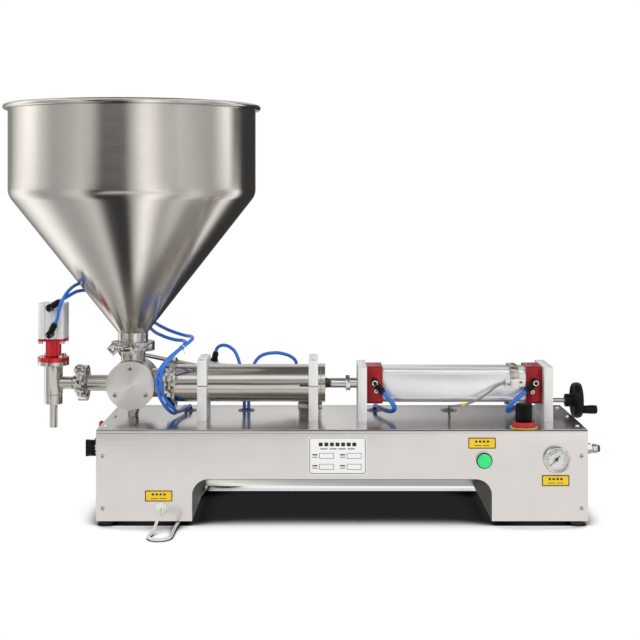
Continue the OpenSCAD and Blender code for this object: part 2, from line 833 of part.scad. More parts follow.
// Pressure regulator through the case top: red collar and ribbed black knob
module at_regulator() {
    in_case() translate([reg_x, reg_y, case_top + label_t]) children();
}

module regulator_collar() color("#c8202f") at_regulator() difference() {
    union() {
        cylinder(d1 = reg_collar_d - 2, d2 = reg_collar_d, h = reg_collar_h / 2);
        translate([0, 0, reg_collar_h / 2])
            cylinder(d1 = reg_collar_d, d2 = reg_collar_d - 4, h = reg_collar_h / 2);
        translate([0, 0, -label_t - sheet_t - reg_deep])
            cylinder(d = reg_stem_d, h = reg_deep + label_t + sheet_t + over);
    }
    translate([0, 0, -reg_deep]) cylinder(d = reg_stem_d / 2 + 2 * run_fit, h = reg_deep * 2);
}

module regulator_knob() color("#1a1b1d") at_regulator() {
    translate([0, 0, reg_collar_h + seat_gap]) {
        cylinder(d = reg_knob_d - reg_rib_d, h = reg_knob_h);
        for (k = [0 : reg_ribs - 1]) rotate(360 * k / reg_ribs)
            translate([reg_knob_d / 2 - reg_rib_d / 2, 0, 0]) cylinder(d = reg_rib_d, h = reg_knob_h - 2);
    }
    translate([0, 0, -reg_deep / 2]) cylinder(d = reg_stem_d / 2, h = reg_deep / 2 + reg_collar_h + over);
}

// A ferrule: its rim faces -Z at the origin and its pipe runs up
module ferrule(rim, pipe, bore, length) {
    rotate_extrude() polygon([[bore / 2, 0], [rim / 2, 0], [rim / 2, rim_t],
        [pipe / 2, rim_t + (rim - pipe) / 2 * rim_slope], [pipe / 2, length], [bore / 2, length]]);
}

// Product barrel, open at its rear end, with a ferrule towards the valve
barrel_bore = barrel_d - 2 * barrel_wall;
module barrel() color("#b8b4ae") on_axis() {
    translate([barrel_x + gasket_t / 2, 0, 0]) rotate([0, 90, 0])
        ferrule(barrel_rim_d, barrel_d, barrel_bore, barrel_len - gasket_t / 2);
    difference() {
        rod_x(barrel_end - end_ring_len, barrel_end, barrel_d + 2 * end_ring_t);
        rod_x(barrel_end - end_ring_len - over, barrel_end + over, barrel_bore);
    }
}

saddle_xs = [barrel_x + saddle_inset, barrel_end - saddle2_inset];
saddle_screw_y = saddle_w / 4 + barrel_d / 4 - 0.5 * seat_gap;

module saddle_screws() {
    for (x = saddle_xs, side = [-1, 1])
        translate([x + saddle_t / 2, side * saddle_screw_y, saddle_top - screw_head_h]) children();
}

module barrel_saddles() color("#e3e3e1") on_axis() for (x = saddle_xs) difference() {
    translate([x, -saddle_w / 2, -line_h]) cube([saddle_t, saddle_w, line_h - split_gap / 2]);
    rod_x(x - over, x + saddle_t + over, barrel_d + 2 * seat_gap);
    saddle_screws() translate([0, 0, -saddle_top - line_h / 2])
        cylinder(d = screw_shank + ease, h = saddle_top + line_h);
}

module saddle_caps() color("#e3e3e1") on_axis() for (x = saddle_xs) difference() {
    along_x(x, x + saddle_t) translate([0, split_gap / 2])
        rounded_top(saddle_w, saddle_top - split_gap / 2, saddle_r);
    rod_x(x - over, x + saddle_t + over, barrel_d + 2 * seat_gap);
    saddle_screws() {
        cylinder(d = screw_head_d + ease, h = screw_head_h + over);
        translate([0, 0, -saddle_top]) cylinder(d = screw_shank + ease, h = saddle_top + over);
    }
}

// Places of the nozzle's screws, on the yoke's two flanges
yoke_low = nozzle_up + yoke_base_t;
yoke_high = yoke_low + yoke_col_h;
head_low = yoke_high + yoke_top_t;
yoke_screw_r = flange_d / 2 - screw_head_d / 2 - 1;
head_screw_off = head_w / 2 - screw_head_d / 2 - 0.5;

// All socket and pan head screws
module screws() color("#9b9a97") {
    in_case() {
        wall_screws() pan_screw();
        top_screws() pan_screw();
    }
    on_axis() {
        saddle_screws() socket_screw(screw_shank, saddle_top + line_h / 2 - screw_head_h - over);
        translate([valve_x, drum_front - cover_t + screw_head_h / 2, 0]) cover_screws()
            rotate([90, 0, 0]) socket_screw(screw_shank, screw_head_h / 2 + screw_len);
        translate([nozzle_x, 0, 0]) {
            for (turn = [45 : 90 : 315]) rotate(turn) {
                translate([yoke_screw_r, 0, yoke_low])
                    socket_screw(screw_shank, yoke_base_t + flange_t - over);
                translate([head_screw_off * sqrt(2), 0, yoke_high]) rotate([180, 0, 0])
                    socket_screw(screw_shank, yoke_top_t + head_wall / 2);
            }
        }
    }
}

module cover_screws() {
    for (turn = [90, 210, 330])
        translate([cover_pcd / 2 * cos(turn), 0, cover_pcd / 2 * sin(turn)]) children();
}

// Valve: drum with three pipe ends, cover, plug with a T channel, slotted lever
module valve_body() color("#c9c6c1") on_axis() translate([valve_x, 0, 0]) difference() {
    union() {
        rod_y(drum_front, drum_back, drum_d);
        translate([0, 0, inlet_reach - gasket_t / 2]) rotate([180, 0, 0])
            ferrule(hopper_rim_d, inlet_pipe_d, inlet_bore, inlet_reach / 2);
        translate([port_reach - gasket_t / 2, 0, 0]) rotate([0, -90, 0])
            ferrule(barrel_rim_d, port_pipe_d, port_bore, port_reach / 2);
        translate([gasket_t / 2 - outlet_reach, 0, 0]) rotate([0, 90, 0])
            ferrule(outlet_rim_d, outlet_pipe_d, outlet_bore, outlet_reach * 0.6);
    }
    rod_y(drum_front - over, drum_back - drum_wall_back, rotor_d + 2 * run_fit);
    rod_y(0, drum_back + over, spindle_d + 2 * run_fit);
    cylinder(d = inlet_bore, h = inlet_reach);
    rod_x(0, port_reach, port_bore);
    rod_x(-outlet_reach, 0, outlet_bore);
    translate([0, drum_front - over, 0]) cover_screws()
        rod_y(0, screw_len + over, screw_shank + ease);
}

module valve_cover() color("#d2d0cc") on_axis() translate([valve_x, 0, 0]) difference() {
    union() {
        rod_y(drum_front - cover_t + 1, drum_front, drum_d);
        rod_y(drum_front - cover_t, drum_front, drum_d - 2);
    }
    translate([0, drum_front - cover_t - over, 0]) cover_screws() {
        rod_y(0, screw_head_h / 2 + over, screw_head_d + ease);
        rod_y(0, cover_t + 2 * over, screw_shank + ease);
    }
}

module valve_rotor() color("#a9a7a3") on_axis() translate([valve_x, 0, 0]) {
    difference() {
        rod_y(drum_front + seat_gap, drum_back - drum_wall_back - seat_gap, rotor_d);
        translate([0, 0, -rotor_d]) cylinder(d = channel_d, h = 2 * rotor_d);
        rod_x(0, rotor_d, channel_d);
    }
    rod_y(drum_back - drum_wall_back - over, act_y - lever_t / 2, spindle_d);
    intersection() {
        rod_y(act_y - lever_t / 2 - over, act_y + lever_t / 2 + over, spindle_d);
        translate([-spindle_d, act_y - lever_t, -spindle_flat / 2])
            cube([2 * spindle_d, 2 * lever_t, spindle_flat]);
    }
}

// The valve drive's own frame: X runs down its slope, the plug's axis is at the origin
module on_slope() {
    on_axis() translate([valve_x, act_y, 0]) rotate([0, act_tilt, 0]) children();
}

act_travel = 2 * act_arm;
act_back = act_nose + act_len;
riser_xs = [act_nose + act_cap_t / 2, act_back - act_cap_t / 2];
riser_seat = act_cap_d / 2 - elbow_hex / 10;
slot_from = act_arm - slot_ease;
slot_to = act_arm * sqrt(2) + slot_ease;
slot_w = lever_pin_d + 2 * slot_ease;

module valve_lever() color("#b7b5b1") on_slope() rotate([0, -45, 0]) difference() {
    union() {
        rod_y(-lever_t / 2, lever_t / 2, lever_boss_d);
        translate([-lever_w / 2, -lever_t / 2, 0]) cube([lever_w, lever_t, slot_to]);
        translate([0, 0, slot_to]) rod_y(-lever_t / 2, lever_t / 2, lever_w);
    }
    rotate([0, 45 - act_tilt, 0]) intersection() {
        rod_y(-lever_t, lever_t, spindle_d + 2 * seat_gap);
        translate([-spindle_d, -lever_t, -spindle_flat / 2 - seat_gap])
            cube([2 * spindle_d, 2 * lever_t, spindle_flat + 2 * seat_gap]);
    }
    translate([-slot_w / 2, -lever_t, slot_from]) cube([slot_w, 2 * lever_t, slot_to - slot_from]);
    for (z = [slot_from, slot_to]) translate([0, 0, z]) rod_y(-lever_t, lever_t, slot_w);
}

// Air cylinder of the valve drive and its rod with a fork and a cross pin
module actuator_barrel() color("#c2c2c0") on_slope() translate([0, 0, act_arm]) difference() {
    union() {
        rod_x(act_nose - act_neck_len, act_nose + over, act_neck_d);
        rod_x(act_nose, act_nose + act_cap_t, act_cap_d);
        rod_x(act_nose, act_back, act_d);
        rod_x(act_back - act_cap_t, act_back, act_cap_d);
        translate([act_back - over, -tang_t / 2, -act_neck_d / 2])
            cube([tang_len - act_neck_d / 2 + over, tang_t, act_neck_d]);
        translate([act_back + tang_len - act_neck_d / 2, 0, 0])
            rod_y(-tang_t / 2, tang_t / 2, act_neck_d);
    }
    rod_x(act_nose - act_neck_len - over, act_back - act_cap_t, act_rod_d + 2 * run_fit);
    rod_x(act_nose + act_cap_t, act_back - act_cap_t, act_d - 4);
    for (x = riser_xs) translate([x, 0, riser_seat]) cylinder(d = elbow_hex + 2 * ease, h = act_d);
    translate([act_back + tang_len - act_neck_d / 2, 0, 0])
        rod_y(-tang_t, tang_t, tang_pin_d + 2 * seat_gap);
}

fork_in = lever_w / sqrt(2) + fork_h / 2 + 1.5;
fork_half = lever_t / 2 + ease;
rod_back = act_arm + act_nose + act_cap_t + act_travel / 4;
module actuator_rod() color("#d4d3d0") on_slope() translate([-act_arm, 0, act_arm]) {
    difference() {
        translate([-fork_h / 2, -fork_half - fork_ear_t, -fork_h / 2])
            cube([fork_h / 2 + fork_in + fork_base_t, 2 * (fork_half + fork_ear_t), fork_h]);
        translate([-fork_h / 2 - over, -fork_half, -fork_h / 2 - over])
            cube([fork_h / 2 + fork_in + over, 2 * fork_half, fork_h + 2 * over]);
    }
    rod_y(-fork_half - fork_ear_t - 2, fork_half + fork_ear_t + 2, lever_pin_d);
    rod_x(fork_in + over, rod_back, act_rod_d);
    rod_x(act_arm + act_nose + act_cap_t + over, rod_back, act_d - 4 - 2 * run_fit);
}

// Supports that stand on the case: the valve's post, and the foot and block of the valve drive
block_top = act_arm - act_neck_d;
post_low = line_h - drum_d / 2 - 2 * post_collar_h;
module support_posts() color("#8f8d8a") {
    on_axis() translate([valve_x, 0, -line_h]) difference() {
        union() {
            cylinder(d = post_d - 3, h = line_h);
            cylinder(d = post_d, h = post_low);
            translate([0, 0, post_low]) cylinder(d = post_collar_d, h = post_collar_h);
        }
        translate([0, 0, line_h]) rod_y(-post_d, post_d, drum_d + 2 * seat_gap);
    }
    difference() {
        on_slope() translate([foot_at, 0, act_arm]) rotate([0, -act_tilt, 0])
            translate([-act_foot_t / 2, -act_foot_w / 2, -foot_drop])
                cube([act_foot_t, act_foot_w, foot_drop + act_neck_d]);
        on_slope() translate([0, 0, act_arm])
            rod_x(foot_at - act_neck_len * 2, foot_at + act_neck_len, act_neck_d + 2 * seat_gap);
    }
    difference() {
        in_case() translate([rear_x - block_l / 2, act_y - block_w / 2, case_top])
            cube([block_l, block_w, rear_z - case_top + act_neck_d / 2]);
        on_slope() translate([act_back - over, -tang_t / 2 - seat_gap, act_arm - act_neck_d])
            cube([block_l * 2, tang_t + 2 * seat_gap, act_neck_d * 3]);
        on_slope() translate([act_back - block_l, -block_w, act_arm - act_neck_d])
            cube([block_l, 2 * block_w, act_neck_d * 3]);
    }
    on_slope() translate([act_back + tang_len - act_neck_d / 2, 0, act_arm])
        rod_y(-block_w / 2, block_w / 2, tang_pin_d);
    on_axis() translate([saddle_xs[1], 0, -barrel_d / 2 - bar_d / 2 - 1.5]) {
        rod_x(-bar_back, 0, bar_d);
        rod_x(saddle_t, saddle_t + bar_front, bar_d);
    }
}

rear_off = act_back + tang_len - act_neck_d / 2;
rear_x = valve_x + rear_off * cos(act_tilt) + act_arm * sin(act_tilt);
rear_z = axis_z - rear_off * sin(act_tilt) + act_arm * cos(act_tilt);

foot_at = act_nose - act_neck_len / 2;
foot_drop = line_h + act_arm * cos(act_tilt) - foot_at * sin(act_tilt);

// Hopper: neck, cone, rounded shoulder, wall and rolled bead, all in one thin sheet
neck_r = neck_d / 2;
hopper_joint = inlet_reach + gasket_t / 2;
cone_low = inlet_reach + neck_h + 1.4;
cone_high = cone_low + cone_h;
hopper_high = cone_high + hopper_wall_h;
cone_angle = atan((hopper_r - neck_r) / cone_h);
shoulder_r = 30;
shoulder_cut = shoulder_r * tan(cone_angle / 2);
function arc(c, r, from, to, n) = [for (i = [0 : n])
    c + r * [cos(from + (to - from) * i / n), sin(from + (to - from) * i / n)]];
cone_line = concat([[neck_r, hopper_joint + rim_t], [neck_r, cone_low]],
    arc([hopper_r - shoulder_r, cone_high + shoulder_cut], shoulder_r, -cone_angle, 0, 6));
module sheet(line) rotate_extrude() polygon(concat(line,
    [for (i = [len(line) - 1 : -1 : 0]) line[i] - [hopper_t, 0]]));
module hopper() color("#a8a39c") on_axis() translate([valve_x, 0, 0]) {
    sheet(cone_line);
    translate([0, 0, hopper_joint])
        ferrule(hopper_rim_d, neck_d, neck_d - 2 * hopper_t, neck_h / 2);
}

module hopper_wall() color("#a8a39c") on_axis() translate([valve_x, 0, 0]) {
    sheet([[hopper_r, cone_high + shoulder_cut], [hopper_r, hopper_high - bead_d / 2]]);
    rotate_extrude() translate([hopper_r + bead_d / 2 - hopper_t / 2, hopper_high - bead_d / 2])
        circle(d = bead_d);
}

// Pipe clamp: two half rings with a tapered groove, knuckle and pin, swing bolt across the front.
// The ring's axis is Z, the opening faces -Y and the eye nut is at the bolt's -X end.
module clamp_half(rim, side) {
    ro = rim / 2 + clamp_wall;
    ri = rim / 2 - clamp_lip;
    wide = gasket_t / 2 + rim_t + clamp_lip * rim_slope + groove_gap;
    deep = gasket_t / 2 + rim_t + groove_gap;
    floor_r = rim / 2 + groove_gap;
    difference() {
        union() {
            intersection() {
                rotate_extrude() polygon([[ri, wide], [ri, clamp_w / 2], [ro, clamp_w / 2],
                    [ro, -clamp_w / 2], [ri, -clamp_w / 2], [ri, -wide], [floor_r, -deep],
                    [floor_r, deep]]);
                translate([side > 0 ? seat_gap : -2 * ro - seat_gap, -2 * ro, -clamp_w])
                    cube([2 * ro, 4 * ro, 2 * clamp_w]);
            }
            translate([side > 0 ? clamp_gap : -clamp_gap - lug_t, -ro - lug_reach, -clamp_w / 2])
                cube([lug_t, lug_reach + clamp_wall / 2, clamp_w]);
            for (z = side > 0 ? [-1, 1] : [0]) translate([0, ro, z * clamp_w / 3 - clamp_w / 6])
                cylinder(d = knuckle_d, h = clamp_w / 3 - (z == 0 ? seat_gap : 0));
        }
        translate([-clamp_gap, -ro - lug_reach - over, -clamp_w])
            cube([2 * clamp_gap, lug_reach + over + clamp_wall + clamp_lip + 2, 2 * clamp_w]);
        translate([0, -ro - bolt_off, 0]) {
            rod_x(-2 * lug_reach, 2 * lug_reach, bolt_d + 2 * ease);
            if (side < 0) translate([-2 * lug_reach, -lug_reach, -bolt_d / 2 - ease])
                cube([2 * lug_reach, lug_reach, bolt_d + 2 * ease]);
        }
        translate([0, ro, -clamp_w]) cylinder(d = pin_d + 2 * seat_gap, h = 2 * clamp_w);
        for (z = side > 0 ? [0] : [-1, 1])
            translate([0, ro, z * clamp_w / 3 - clamp_w / 6 - seat_gap])
                cylinder(d = knuckle_d + 2 * ease, h = clamp_w / 3 + 2 * seat_gap);
    }
}

module pipe_clamp(rim) {
    ro = rim / 2 + clamp_wall;
    for (side = [-1, 1]) clamp_half(rim, side);
    translate([0, ro, -clamp_w / 2]) cylinder(d = pin_d, h = clamp_w);
    translate([0, -ro - bolt_off, 0]) {
        rod_x(-clamp_gap - lug_t - nut_len - 1, clamp_gap + lug_t, bolt_d);
        rotate([0, 90, 0]) translate([0, 0, clamp_gap + lug_t])
            cylinder(d = nut_d, h = bolt_d, $fn = 6);
    }
}

module clamp_nut(rim, wing = 0) {
    ro = rim / 2 + clamp_wall;
    translate([-clamp_gap - lug_t - seat_gap, -ro - bolt_off, 0]) difference() {
        union() {
            rod_x(-nut_len, 0, nut_d);
            translate([-nut_len - eye_d / 2 + 2, 0, 0]) if (wing > 0) rotate([0, 45, 0])
                cube([wing, eye_t, wing], center = true);
            else rod_y(-eye_t / 2, eye_t / 2, eye_d);
        }
        rod_x(-nut_len - 2, over, bolt_d + 2 * run_fit);
        translate([-nut_len - eye_d / 2 + 1, 0, 0]) rod_y(-eye_d, eye_d, eye_hole);
    }
}

// Frames of the three clamped joints
module at_hopper_joint() {
    on_axis() translate([valve_x, 0, inlet_reach]) children();
}

module at_barrel_joint() {
    on_axis() translate([barrel_x, 0, 0]) rotate([0, 90, 0]) children();
}

module at_outlet_joint() {
    on_axis() translate([outlet_x, 0, 0]) rotate([0, 90, 0]) children();
}

module pipe_clamps() color("#a3a19d") {
    at_hopper_joint() pipe_clamp(hopper_rim_d);
    at_barrel_joint() pipe_clamp(barrel_rim_d);
    at_outlet_joint() pipe_clamp(outlet_rim_d);
}

module hopper_clamp_nut() color("#c4c2be") at_hopper_joint()
    clamp_nut(hopper_rim_d, wing_w);

module barrel_clamp_nut() color("#c4c2be") at_barrel_joint() clamp_nut(barrel_rim_d);

module outlet_clamp_nut() color("#c4c2be") at_outlet_joint() clamp_nut(outlet_rim_d);

module gasket(rim, bore) {
    translate([0, 0, -gasket_t / 2]) difference() {
        cylinder(d = rim - 2, h = gasket_t);
        translate([0, 0, -over]) cylinder(d = bore, h = gasket_t + 2 * over);
    }
}

module clamp_gaskets() color("#e4e2da") {
    at_hopper_joint() gasket(hopper_rim_d, neck_d - 2 * hopper_t);
    at_barrel_joint() gasket(barrel_rim_d, barrel_bore);
    at_outlet_joint() gasket(outlet_rim_d, outlet_bore);
}

// Nozzle: upright tube with a side branch, tip, red yoke, air cylinder and stem
module nozzle_body() color("#c2beb8") on_axis() difference() {
    union() {
        translate([nozzle_x, 0, -nozzle_down + socket_t]) cylinder(d = nozzle_d,
            h = nozzle_down + nozzle_up - socket_t);
        translate([nozzle_x, 0, nozzle_up - flange_t]) cylinder(d = flange_d, h = flange_t);
        translate([nozzle_x, 0, -nozzle_down]) cylinder(d = nozzle_d - 1, h = socket_t + over);
        translate([outlet_x - gasket_t / 2, 0, 0]) rotate([0, -90, 0])
            ferrule(outlet_rim_d, branch_d, branch_bore, nozzle_arm - nozzle_bore / 2);
    }
    translate([nozzle_x, 0, -nozzle_down + flange_t]) cylinder(d = nozzle_bore, h = nozzle_down * 4);
    translate([nozzle_x, 0, -nozzle_down - over]) cylinder(d = spigot_d + 2 * seat_gap,
        h = flange_t * 2);
    rod_x(nozzle_x, outlet_x + over, branch_bore);
    translate([nozzle_x, 0, nozzle_up - 2 * flange_t]) for (turn = [45 : 90 : 315]) rotate(turn)
        translate([yoke_screw_r, 0, 0]) cylinder(d = screw_shank + ease, h = flange_t * 3);
}

spigot_d = tip_d - 1.6;
module nozzle_tip() color("#bdb9b3") on_axis() translate([nozzle_x, 0, -nozzle_down - tip_len])
    difference() {
        union() {
            cylinder(d = tip_d, h = tip_len);
            cylinder(d = spigot_d, h = tip_len + flange_t);
            translate([0, 0, tip_len + flange_t]) cylinder(d = nozzle_bore - 2 * ease, h = 3);
        }
        translate([0, 0, -over]) cylinder(d = seat_bore, h = tip_len + flange_t + 5);
    }

module nozzle_yoke() color("#c3202c") on_axis() translate([nozzle_x, 0, nozzle_up]) difference() {
    union() {
        cylinder(d = flange_d, h = yoke_base_t);
        cylinder(d = yoke_col_d - 4, h = yoke_base_t + yoke_col_h + over);
        for (turn = [0 : 60 : 300]) rotate(turn)
            translate([(yoke_col_d - yoke_rib_d) / 2, 0, 0])
                cylinder(d = yoke_rib_d, h = yoke_base_t + yoke_col_h + over);
        translate([0, 0, yoke_base_t + yoke_col_h]) linear_extrude(height = yoke_top_t)
            rounded_square(head_w, head_w, head_corner);
    }
    translate([0, 0, -over]) cylinder(d = yoke_bore, h = yoke_high * 2);
    for (turn = [45 : 90 : 315]) rotate(turn) {
        translate([yoke_screw_r, 0, -over]) cylinder(d = screw_shank + ease, h = yoke_base_t + over * 2);
        translate([head_screw_off * sqrt(2), 0, yoke_base_t + yoke_col_h - over])
            cylinder(d = screw_shank + ease, h = yoke_top_t + 2 * over);
    }
}

module head_outline() {
    difference() {
        rounded_square(head_w, head_w, head_corner);
        for (turn = [0 : 90 : 270], off = [-1, 1]) rotate(turn)
            translate([off * head_w / 5, head_w / 2])
                square([head_slot_w, 2 * head_slot_deep], center = true);
    }
}

module nozzle_cylinder() color("#e4e4e2") on_axis() translate([nozzle_x, 0, head_low]) difference() {
    linear_extrude(height = head_h) head_outline();
    translate([0, 0, head_wall]) cylinder(d = head_piston_d + 2 * run_fit, h = head_h - 2 * head_wall);
    translate([0, 0, -over]) cylinder(d = stem_d + 2 * run_fit, h = head_wall + 2 * over);
    for (turn = [45 : 90 : 315]) rotate(turn) translate([head_screw_off * sqrt(2), 0, -over])
        cylinder(d = screw_shank + ease, h = head_wall + over);
}

module nozzle_stem() color("#d6d4d0") on_axis() translate([nozzle_x, 0, 0]) {
    translate([0, 0, seat_z]) cylinder(d1 = seat_bore - 2, d2 = plunger_d, h = 3);
    translate([0, 0, seat_z + 3]) cylinder(d = plunger_d, h = 10);
    translate([0, 0, seat_z + 12]) cylinder(d = stem_d, h = head_low + head_wall + 2 - seat_z - 12);
    translate([0, 0, head_low + head_wall + 1]) cylinder(d = head_piston_d, h = head_piston_t);
}

seat_z = flange_t + 4 + seat_gap - nozzle_down;

// Push-in fittings: a hex, a banjo body and an arm that holds the hose
module elbow(turn, hose = hose_d) {
    arm_d = elbow_arm_d + (hose - hose_d) / 2;
    rotate([90, 0, 0]) cylinder(d = elbow_hex, h = elbow_hex_t, $fn = 6);
    rod_y(-elbow_hex_t - elbow_len, -elbow_hex_t + over, elbow_d);
    rotate([90, 0, 0]) cylinder(d = elbow_hex / 2, h = elbow_hex_t + elbow_len + 2, $fn = 6);
    translate([0, -elbow_hex_t - elbow_len / 2, 0]) rotate([0, turn, 0]) difference() {
        union() {
            cylinder(d = arm_d - 1, h = elbow_arm * 0.6);
            translate([0, 0, elbow_arm * 0.35]) cylinder(d = arm_d, h = elbow_arm * 0.5);
            cylinder(d = arm_d - 2, h = elbow_arm);
        }
        translate([0, 0, elbow_arm - elbow_socket])
            cylinder(d = hose + 2 * ease, h = elbow_socket + over);
    }
}

module riser() {
    difference() {
        union() {
            cylinder(d = elbow_hex, h = elbow_hex_t, $fn = 6);
            cylinder(d = riser_d, h = riser_h - 3);
            cylinder(d = riser_d - 2, h = riser_h);
        }
        translate([0, 0, riser_h - elbow_socket]) cylinder(d = hose_d + 2 * ease, h = elbow_socket + over);
    }
}

head_ports = [[9, 26], [55, 57]];
cap_turns = [138, -132];
module push_in_fittings() color("#2a2b2d") {
    on_axis() {
        for (port = head_ports)
            translate([nozzle_x, -head_w / 2, head_low + port[0]]) elbow(port[1]);
        translate([cap_x + cap_t / 2, -cap_w / 2, 6]) elbow(cap_turns[0], cap_hose_d);
        translate([cap2_x + cap_t / 2, -cap_w / 2, 6]) elbow(cap_turns[1], cap_hose_d);
    }
    on_slope() for (x = riser_xs) translate([x, 0, act_arm + riser_seat]) riser();
}

module air_hoses() color("#1b6fd8") in_case() for (i = [0 : len(hose_routes) - 1])
    swept_tube(smooth(hose_routes[i], hose_steps), (i < 4 ? hose_d : cap_hose_d) / 2, hose_sides,
        [0, 1, 0]);

// Air cylinder: drawn tube with long grooves, red end caps and upright plates
module profile_outline(w) {
    difference() {
        rounded_square(w, w, profile_r);
        for (turn = [0 : 90 : 270], off = [-1, 1]) rotate(turn)
            translate([off * groove_off, w / 2]) square([groove_w, 2 * groove_deep], center = true);
    }
}

module air_tube() color("#d9d9d8") on_axis() difference() {
    along_x(tube_x, cap2_x) profile_outline(profile_w);
    rod_x(tube_x - over, cap2_x + over, air_bore);
}

module air_caps() color("#b01f27") on_axis() {
    difference() {
        along_x(cap_x, tube_x) rounded_square(cap_w, cap_w, cap_r);
        rod_x(cap_x - over, tube_x + over, rod_d + 2 * run_fit);
    }
    along_x(cap2_x, plate2_x) rounded_square(cap_w, cap_w, cap_r);
}

module end_plate(from, hole) {
    difference() {
        along_x(from, from + plate_t) translate([0, -line_h])
            rounded_top(plate_w, line_h + air_rise, plate_r);
        if (hole > 0) rod_x(from - over, from + plate_t + over, hole);
        translate([0, screw_y, -screw_drop])
            rod_x(from - over, from + plate_t + over, screw_d + 2 * run_fit);
    }
}

module air_plates() color("#e3e3e2") on_axis() {
    end_plate(plate_x, gland_d);
    end_plate(plate2_x, 0);
}

// Moving line: product piston with two lip seals, its rod and nut, the air rod and its piston
piston_back = barrel_end - 9;
piston_front = piston_back - piston_t;
module piston_head() color("#c9c7c3") on_axis() difference() {
    union() {
        rod_x(piston_front, piston_back, barrel_bore - 2 * run_fit - 0.6);
        rod_x(piston_back - over, piston_back + piston_lip, rod_d * 1.7);
    }
    for (x = [piston_front + piston_lip, piston_back - piston_lip - seal_w]) difference() {
        rod_x(x, x + seal_w, barrel_d);
        rod_x(x - over, x + seal_w + over, barrel_bore - 2 * seal_deep);
    }
    rod_x(piston_front + piston_t / 2, piston_back + piston_lip + over, rod_d + 2 * seat_gap);
}

module piston_seals() color("#efece2") on_axis()
    for (x = [piston_front + piston_lip, piston_back - piston_lip - seal_w]) difference() {
        rod_x(x + seat_gap, x + seal_w - seat_gap, barrel_bore - 2 * run_fit);
        rod_x(x - over, x + seal_w + over, barrel_bore - 2 * seal_deep + 2 * seat_gap);
    }

module piston_rod() color("#cfcdc9") on_axis() {
    rod_x(piston_front + piston_t / 2, nut_x, rod_d - 1);
    translate([nut_x, 0, 0]) rotate([0, 90, 0]) cylinder(d = rod_nut_d, h = rod_nut_t, $fn = 6);
}

nut_x = plate_x - rod_nut_t - rod_d * 0.7;
air_piston_x = cap2_x - air_piston_t - 4;
module air_rod() color("#d8d6d2") on_axis() {
    rod_x(nut_x + rod_nut_t, air_piston_x + over, rod_d);
    rod_x(air_piston_x, air_piston_x + air_piston_t, air_bore - 2 * run_fit);
}

// Lead screw behind the air cylinder, handwheel with a turning grip
wheel_x = max(air_end + wheel_gap, case_end - wheel_over);
module on_screw() {
    on_axis() translate([0, screw_y, -screw_drop]) children();
}

module lead_screw() color("#b4b2ae") on_screw() {
    rod_x(plate_x + 2, plate_x + plate_t + 1, screw_d);
    rod_x(plate_x + plate_t + 1, plate2_x - 1, screw_d - 1);
    rod_x(plate2_x - 1, wheel_x + hub_len, screw_d);
    rod_x(plate_x + plate_t + seat_gap, plate_x + plate_t + 4, screw_d + 4);
    rod_x(plate2_x - 4, plate2_x - seat_gap, screw_d + 4);
}

module handwheel() color("#1b1c1e") on_screw() translate([wheel_x, 0, 0]) difference() {
    union() {
        rod_x(0, hub_len + wheel_t / 2, hub_d);
        rotate([0, 90, 0]) rotate_extrude() translate([0, hub_len]) difference() {
            polygon([[0, wheel_t / 2 - wheel_web_t / 2], [wheel_d / 2 - wheel_rim_t, 1],
                [wheel_d / 2 - 2, 0], [wheel_d / 2, 2], [wheel_d / 2, wheel_t - 2],
                [wheel_d / 2 - 2, wheel_t], [wheel_d / 2 - wheel_rim_t, wheel_t - 1],
                [0, wheel_t / 2 + wheel_web_t / 2]]);
        }
        grip_place() rod_x(hub_len + 2, hub_len + wheel_t, grip_d);
        grip_place() rod_x(hub_len + 2, hub_len + wheel_t + grip_len - 3, grip_pin_d);
    }
    rod_x(-over, hub_len + seat_gap, screw_d + 2 * seat_gap);
}

module grip_place() {
    translate([0, grip_r * cos(grip_turn), grip_r * sin(grip_turn)]) children();
}

module handwheel_grip() color("#202124") on_screw() translate([wheel_x + hub_len + wheel_t, 0, 0])
    grip_place() difference() {
        union() {
            rod_x(seat_gap, grip_len, grip_d - 1);
            rod_x(2, grip_len - 3, grip_d);
        }
        rod_x(-over, grip_len - 2, grip_pin_d + 2 * run_fit);
    }

// Carriage: strap over the cylinder, nut on the lead screw behind, sensor on the front
strap_in = profile_w / 2 + strap_gap;
strap_out = strap_in + strap_t;
carriage_x = cap2_x - carriage_in;
strap_low = sensor_h / 2 + over - sensor_z;
module sensor_carriage() color("#cfcfcd") on_axis() {
    difference() {
        along_x(carriage_x, carriage_x + strap_w) difference() {
            rounded_square(2 * strap_out, 2 * strap_out, profile_r + strap_t);
            rounded_square(2 * strap_in, 2 * strap_in, profile_r);
            translate([-2 * strap_out, -3 * strap_out - strap_low]) square([4 * strap_out, 3 * strap_out]);
        }
    }
    difference() {
        union() {
            translate([carriage_x, strap_in, -screw_drop])
                cube([strap_w, strap_t, screw_drop - strap_low + over]);
            translate([0, screw_y, -screw_drop])
                rod_x(carriage_x, carriage_x + strap_w, carriage_nut_d);
            translate([carriage_x, strap_in, -screw_drop - strap_t])
                cube([strap_w, screw_y - strap_in, 2 * strap_t]);
        }
        translate([0, screw_y, -screw_drop])
            rod_x(carriage_x - over, carriage_x + strap_w + over, screw_d + 2 * run_fit - 1);
    }
}

module sensor() color("#ececea") on_axis()
    translate([carriage_x + strap_w / 2 - sensor_len / 2, -strap_out - sensor_t, sensor_z - sensor_h / 2])
        difference() {
            cube([sensor_len, sensor_t, sensor_h]);
            translate([-over, sensor_t / 2, sensor_h / 2]) rod_x(0, sensor_len / 4, lead_d + ease);
        }

module sensor_lead() color("#8d8c8a") in_case()
    swept_tube(smooth(lead_route, hose_steps), lead_d / 2, hose_sides, [0, 1, 0]);

